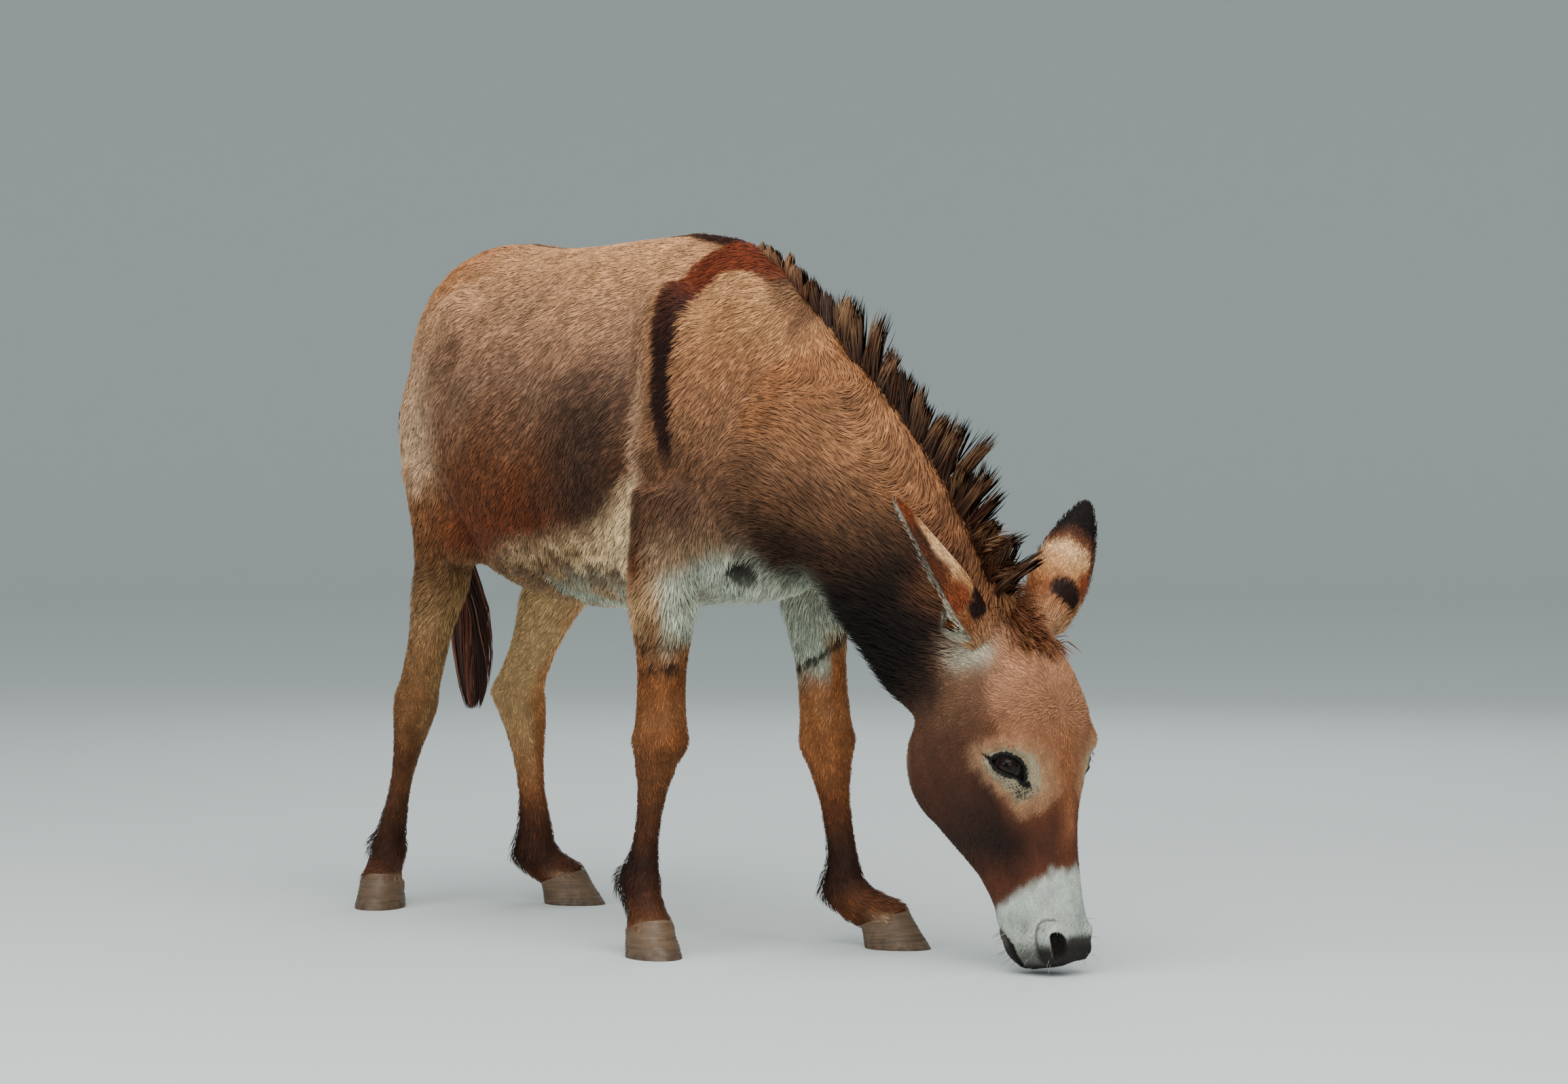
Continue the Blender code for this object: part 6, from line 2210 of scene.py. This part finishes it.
def build_lashes():
    """Lashes along the upper lids, and the long feelers of the muzzle."""
    chance = np.random.default_rng(430)
    roots, ways, lengths, flats, tints = [], [], [], [], []
    for name in EYE_PLACES:
        eye = eye_frame(name)
        loop = [Vector(point) for point in LID_OPENING[:7]]
        for _ in range(LASH_ROWS):
            spot = chance.uniform(0.6, 5.2)
            index = int(spot)
            group = [loop[min(max(index + k, 0), 6)] for k in (-1, 0, 1, 2)]
            along, up = between(group, spot - index)
            reach = math.sqrt(max((EYE_RADIUS + 0.0030) ** 2 - along**2 - up**2, 1e-5))
            roots.append(eye.middle + eye.along * along + eye.up * up + eye.out * reach)
            ways.append(eye.out * 0.95 - eye.up * 0.55 + eye.along * (along * 12 + chance.normal() * 0.15))
            lengths.append(chance.uniform(0.007, 0.014))
            flats.append(eye.up)
            tints.append(LID_BLACK * 1.2)
    for _ in range(90):
        side = chance.choice((-1, 1))
        level = chance.uniform(0.86, 0.99)
        low = chance.random() < 0.5
        front = -0.13 + 0.02 * chance.normal() if low else -0.05 + 0.02 * chance.normal()
        out = 0.044 * (1 - max(level - 0.93, 0) * 5)
        roots.append(np.array(head_place(side * out, front, level)))
        ways.append(head_way(side * 0.8, -0.6 if low else 0.3, 0.7) + 0.25 * chance.normal(size=3))
        lengths.append(chance.uniform(0.010, 0.022))
        flats.append(np.array(FACE_FRONT))
        tints.append(srgb(*(chance.choice((60, 190)) * np.array((1, 0.95, 0.88)))))
    roots, ways, flats = np.array(roots), unit(np.array(ways)), unit(np.array(flats))
    # Feelers stand in the skin itself, and none reaches the ground.
    flesh = Flesh()
    haired = np.flatnonzero(bare(flesh.points) < 0.1)
    tree = KDTree(len(haired))
    for index in haired:
        tree.insert(flesh.points[index], int(index))
    tree.balance()
    for index in range(2 * LASH_ROWS, len(roots)):
        near = tree.find(roots[index])[1]
        roots[index] = flesh.points[near]
        ways[index] = ways[index] * 0.6 + flesh.normals[near]
    ways = unit(ways)
    reach = (roots[:, 2] - FEELER_CLEARANCE) / np.maximum(-ways[:, 2], 0.05)
    lengths, tints = column(np.clip(reach, 0.0005, lengths)), np.array(tints)
    shares = np.array([0.0, 0.2, 0.6, 1.0])
    droop = -np.array(UP) * 0.0025
    paths = np.stack([roots + ways * lengths * s + droop * s * s for s in shares], 1)
    widths = np.tile(np.array([0.0006, 0.0004]), (len(roots), 1))
    colours = np.repeat(tints[:, None], 4, axis=1)
    unwrap = spread_out(roots[:, 2]), spread_out(roots[:, 0])
    locks("lashes_and_feelers", paths, widths, flats, colours, hair_material("lash", 0.5, 0.3), unwrap)
# ---------------------------------------------------------------------------
# Stage

CAMERA_PLACE = place(-3.942, 6.327, 0.85)
CAMERA_HEADING_DEG = 34.0  # turned from straight ahead of the donkey to its right
CAMERA_PITCH_DEG = 1.704  # below the horizon
CAMERA_LENS = 105.3
STAGE_RADIUS = 13.0  # of the flat floor, which turns up to a wall all round
STAGE_CURVE = 6.0
STAGE_HEIGHT = 16.0


def soft_light(name, where, aim, size, watts, colour):
    light = bpy.data.lights.new(name, "AREA")
    light.shape = "RECTANGLE"
    light.size, light.size_y = size
    light.energy = watts
    light.color = colour
    obj = bpy.data.objects.new(name, light)
    obj.location = where
    obj.rotation_euler = (Vector(aim) - Vector(where)).to_track_quat("-Z", "Y").to_euler()
    bpy.context.scene.collection.objects.link(obj)
    return obj


def floor_material(colour):
    material = bpy.data.materials.new("pale floor")
    material.use_nodes = True
    shader = material.node_tree.nodes["Principled BSDF"]
    shader.inputs["Base Color"].default_value = (*colour, 1)
    shader.inputs["Roughness"].default_value = 0.9
    return material


def build_stage(floor_colour, sky_colour, strength, overhead):
    bm = bmesh.new()
    profile = [(0, 0), (STAGE_RADIUS, 0)]
    for step in range(1, 13):
        turn = math.radians(7.5 * step)
        profile.append((STAGE_RADIUS + STAGE_CURVE * math.sin(turn), STAGE_CURVE * (1 - math.cos(turn))))
    profile.append((STAGE_RADIUS + STAGE_CURVE, STAGE_HEIGHT))
    verts = [bm.verts.new((out, 0, up)) for out, up in profile]
    edges = [bm.edges.new(pair) for pair in zip(verts, verts[1:])]
    bmesh.ops.spin(
        bm, geom=verts + edges, axis=UP, cent=(0, 0, 0), angle=2 * math.pi, steps=96, use_merge=True
    )
    bmesh.ops.remove_doubles(bm, verts=bm.verts, dist=0.0001)
    bmesh.ops.recalc_face_normals(bm, faces=bm.faces)
    if any(face.normal.z < -0.5 for face in bm.faces):
        bmesh.ops.reverse_faces(bm, faces=bm.faces[:])
    floor = new_object("floor", bm)
    floor.data.shade_smooth()
    floor.data.materials.append(floor_material(floor_colour))

    world = bpy.data.worlds.new("studio")
    world.use_nodes = True
    sky = world.node_tree.nodes["Background"]
    sky.inputs["Color"].default_value = (*sky_colour, 1)
    sky.inputs["Strength"].default_value = strength
    bpy.context.scene.world = world

    soft_light("overhead", (-1.2, -2.4, 4.2), (0, 0, 0.7), (4.5, 4.5), overhead, (1.0, 0.985, 0.96))
    soft_light("side", (-4.6, -0.6, 2.4), (0, 0, 0.7), (3.0, 2.4), 70, (0.96, 0.98, 1.0))
    soft_light("fill", (-2.4, -5.6, 1.7), (0, -0.2, 0.5), (3.2, 2.2), 55, (1.0, 0.98, 0.95))
    soft_light("behind", (3.2, 3.0, 3.2), (0, 0, 0.8), (3.0, 3.0), 60, (0.95, 0.98, 1.0))

    camera = bpy.data.cameras.new("camera")
    camera.lens = CAMERA_LENS
    camera.sensor_width = 36
    camera.clip_end = 1000
    stand = bpy.data.objects.new("camera", camera)
    stand.location = CAMERA_PLACE + SHIFT
    stand.rotation_mode = "QUATERNION"
    heading = math.radians(CAMERA_HEADING_DEG)
    pitch = math.radians(CAMERA_PITCH_DEG)
    level = math.cos(pitch)
    way = Vector((math.sin(heading) * level, math.cos(heading) * level, -math.sin(pitch)))
    stand.rotation_quaternion = way.to_track_quat("-Z", "Y")
    bpy.context.scene.collection.objects.link(stand)
    bpy.context.scene.camera = stand


def build_dressed_skin(detail, shade):
    """The skin with its ears in one piece, in the coat's colours and a little darker than the coat."""
    skin = build_skin(detail)
    colours = [coat_colour(points_of(skin.data))]
    parts, ears = [skin], [np.zeros(len(skin.data.vertices))]
    for name in EAR_PLACES:
        leaf = ear_shell(name)
        points = points_of(leaf.data)
        colours.append(ear_colour(points, name, ear_inside(points, normals_of(leaf.data), name)))
        ears.append(np.ones(len(points)))
        parts.append(leaf)
    skin = join_meshes("skin", parts)
    put_colours(skin.data, np.concatenate(colours) * shade)
    on_ears = skin.data.attributes.new("ear", "FLOAT", "POINT")
    on_ears.data.foreach_set("value", np.concatenate(ears).astype(np.float32))
    flesh = [node for node in frame["nodes"] if not node.startswith(("hoof", "eye", "mane", "tail_switch"))]
    settle(skin, skin_material(), flesh)


# ---------------------------------------------------------------------------
# Settings, operators and panel


def colour_setting(name, description, default):
    return bpy.props.FloatVectorProperty(
        name=name, description=description, default=tuple(default), size=3, min=0, max=1, subtype="COLOR"
    )


def share_setting(name, description, default=1.0):
    return bpy.props.FloatProperty(
        name=name, description=description, default=default, min=0.05, max=1, subtype="FACTOR"
    )


class DonkeySkinSettings(bpy.types.PropertyGroup):
    """How finely the skin is drawn, and how dark it is under the coat."""

    detail: bpy.props.FloatProperty(
        name="Detail", description="Size of the cells that the skin is fused from",
        default=SKIN_VOXEL, min=0.008, max=0.03, unit="LENGTH", subtype="DISTANCE",
    )
    shade: share_setting("Shade", "Lightness of the skin against the coat over it", 0.62)


class DonkeyCoatSettings(bpy.types.PropertyGroup):
    """How full the short coat is, and its main colours."""

    fullness: share_setting("Fullness", "Share of the short tufts that are grown")
    back: colour_setting("Back", "Colour of the back and the withers", BACK_TAN)
    white: colour_setting("White hair", "Colour of the breast and inside the forelegs", WHITE_HAIR)
    stripe: colour_setting("Stripes", "Colour of the back's stripe and the shoulder stripes' ends", STRIPE)
    muzzle: colour_setting("Muzzle", "Colour of the pale muzzle", MUZZLE_WHITE)


class DonkeyLongHairSettings(bpy.types.PropertyGroup):
    """How full and how long the mane and tail are."""

    fullness: share_setting("Fullness", "Share of the long locks that are grown")
    mane_height: bpy.props.FloatProperty(
        name="Mane height", description="How far the mane stands out of the crest where it is longest",
        default=MANE_HEIGHT, min=0.02, max=0.12, unit="LENGTH", subtype="DISTANCE",
    )
    tips: colour_setting("Mane tips", "Colour of the ends of the mane", MANE_BROWN)
    tail: colour_setting("Tail", "Main colour of the tail", TAIL_DARK)


class DonkeyEyeSettings(bpy.types.PropertyGroup):
    """Colour of the eyes."""

    iris: colour_setting("Iris", "Colour of the iris round the pupil", srgb(34, 20, 13))


class DonkeyHoofSettings(bpy.types.PropertyGroup):
    """Colours and growth rings of the hooves."""

    horn: colour_setting("Horn", "Colour of clean horn", srgb(98, 75, 53))
    soil: colour_setting("Soil", "Colour of the soil on the lower wall", srgb(60, 46, 32))
    rings: bpy.props.IntProperty(
        name="Rings", description="Growth rings down the wall", default=9, min=1, max=20
    )


class DonkeyStageSettings(bpy.types.PropertyGroup):
    """Floor, sky and light."""

    floor: colour_setting("Floor", "Colour of the studio floor", (0.66, 0.70, 0.69))
    sky: colour_setting("Sky light", "Colour of the light from all round", (0.80, 0.88, 0.90))
    strength: bpy.props.FloatProperty(
        name="Sky strength", description="Strength of the light from all round", default=0.68, min=0, max=5
    )
    overhead: bpy.props.FloatProperty(
        name="Overhead light", description="Power of the large light above",
        default=280, min=0, unit="POWER",
    )


def needs(name):
    """Stops an operator whose piece grows on one that isn't there yet."""
    if name not in bpy.data.objects:
        raise RuntimeError(f"the {name} has to be built first")


class DONKEY_OT_build_skin(bpy.types.Operator):
    """Fuse and shape the skin, with its eyelids, nostrils, lips and ears"""

    bl_idname = "donkey.build_skin"
    bl_label = "Skin"

    def execute(self, context):
        settings = context.scene.donkey_skin
        build_dressed_skin(settings.detail, settings.shade)
        return {"FINISHED"}


class DONKEY_OT_build_coat(bpy.types.Operator):
    """Grow the short coat of the body, neck, head and legs"""

    bl_idname = "donkey.build_coat"
    bl_label = "Coat"

    def execute(self, context):
        needs("skin")
        build_coat(context.scene.donkey_coat.fullness)
        return {"FINISHED"}


class DONKEY_OT_build_ear_coat(bpy.types.Operator):
    """Grow the hair outside and inside the ears"""

    bl_idname = "donkey.build_ear_coat"
    bl_label = "Ears' coat"

    def execute(self, context):
        build_ear_coat(context.scene.donkey_coat.fullness)
        return {"FINISHED"}


class DONKEY_OT_build_mane(bpy.types.Operator):
    """Grow the stiff mane and the forelock"""

    bl_idname = "donkey.build_mane"
    bl_label = "Mane and forelock"

    def execute(self, context):
        settings = context.scene.donkey_hair
        build_mane(settings.fullness, settings.mane_height, np.array(settings.tips))
        return {"FINISHED"}


class DONKEY_OT_build_tail(bpy.types.Operator):
    """Hang the long hair of the tail"""

    bl_idname = "donkey.build_tail"
    bl_label = "Tail hair"

    def execute(self, context):
        settings = context.scene.donkey_hair
        build_tail(settings.fullness, np.array(settings.tail))
        return {"FINISHED"}


class DONKEY_OT_build_eyes(bpy.types.Operator):
    """Set the eyeballs behind their lids"""

    bl_idname = "donkey.build_eyes"
    bl_label = "Eyes"

    def execute(self, context):
        build_eyes(np.array(context.scene.donkey_eyes.iris))
        return {"FINISHED"}


class DONKEY_OT_build_hooves(bpy.types.Operator):
    """Shape the four hooves with their growth rings"""

    bl_idname = "donkey.build_hooves"
    bl_label = "Hooves"

    def execute(self, context):
        settings = context.scene.donkey_hooves
        build_hooves(settings.horn, settings.soil, settings.rings)
        return {"FINISHED"}


class DONKEY_OT_build_lashes(bpy.types.Operator):
    """Set the eyelashes and the feelers of the muzzle"""

    bl_idname = "donkey.build_lashes"
    bl_label = "Lashes and feelers"

    def execute(self, context):
        needs("skin")
        build_lashes()
        return {"FINISHED"}


class DONKEY_OT_build_stage(bpy.types.Operator):
    """Lay the pale floor, light the studio and place the camera"""

    bl_idname = "donkey.build_stage"
    bl_label = "Stage"

    def execute(self, context):
        settings = context.scene.donkey_stage
        build_stage(settings.floor, settings.sky, settings.strength, settings.overhead)
        return {"FINISHED"}


SETTINGS = {
    "donkey_skin": DonkeySkinSettings,
    "donkey_coat": DonkeyCoatSettings,
    "donkey_hair": DonkeyLongHairSettings,
    "donkey_eyes": DonkeyEyeSettings,
    "donkey_hooves": DonkeyHoofSettings,
    "donkey_stage": DonkeyStageSettings,
}
OPERATORS = (
    DONKEY_OT_build_skin,
    DONKEY_OT_build_coat,
    DONKEY_OT_build_ear_coat,
    DONKEY_OT_build_mane,
    DONKEY_OT_build_tail,
    DONKEY_OT_build_eyes,
    DONKEY_OT_build_hooves,
    DONKEY_OT_build_lashes,
    DONKEY_OT_build_stage,
)


class DONKEY_PT_looks(bpy.types.Panel):
    """The donkey's settings and the operators that build its pieces"""

    bl_idname = "DONKEY_PT_looks"
    bl_label = "Grazing donkey"
    bl_space_type = "VIEW_3D"
    bl_region_type = "UI"
    bl_category = "Donkey"

    def draw(self, context):
        for holder, group in SETTINGS.items():
            box = self.layout.box()
            for field in group.__annotations__:
                box.prop(getattr(context.scene, holder), field)
        for operator in OPERATORS:
            self.layout.operator(operator.bl_idname)


def register():
    for kind in (*SETTINGS.values(), *OPERATORS, DONKEY_PT_looks):
        bpy.utils.register_class(kind)
    for holder, group in SETTINGS.items():
        setattr(bpy.types.Scene, holder, bpy.props.PointerProperty(type=group))


def unregister():
    for holder in SETTINGS:
        delattr(bpy.types.Scene, holder)
    for kind in reversed((*SETTINGS.values(), *OPERATORS, DONKEY_PT_looks)):
        bpy.utils.unregister_class(kind)


def main():
    register()
    for operator in OPERATORS:
        group, name = operator.bl_idname.split(".")
        getattr(getattr(bpy.ops, group), name)()


if __name__ == "__main__":
    main()
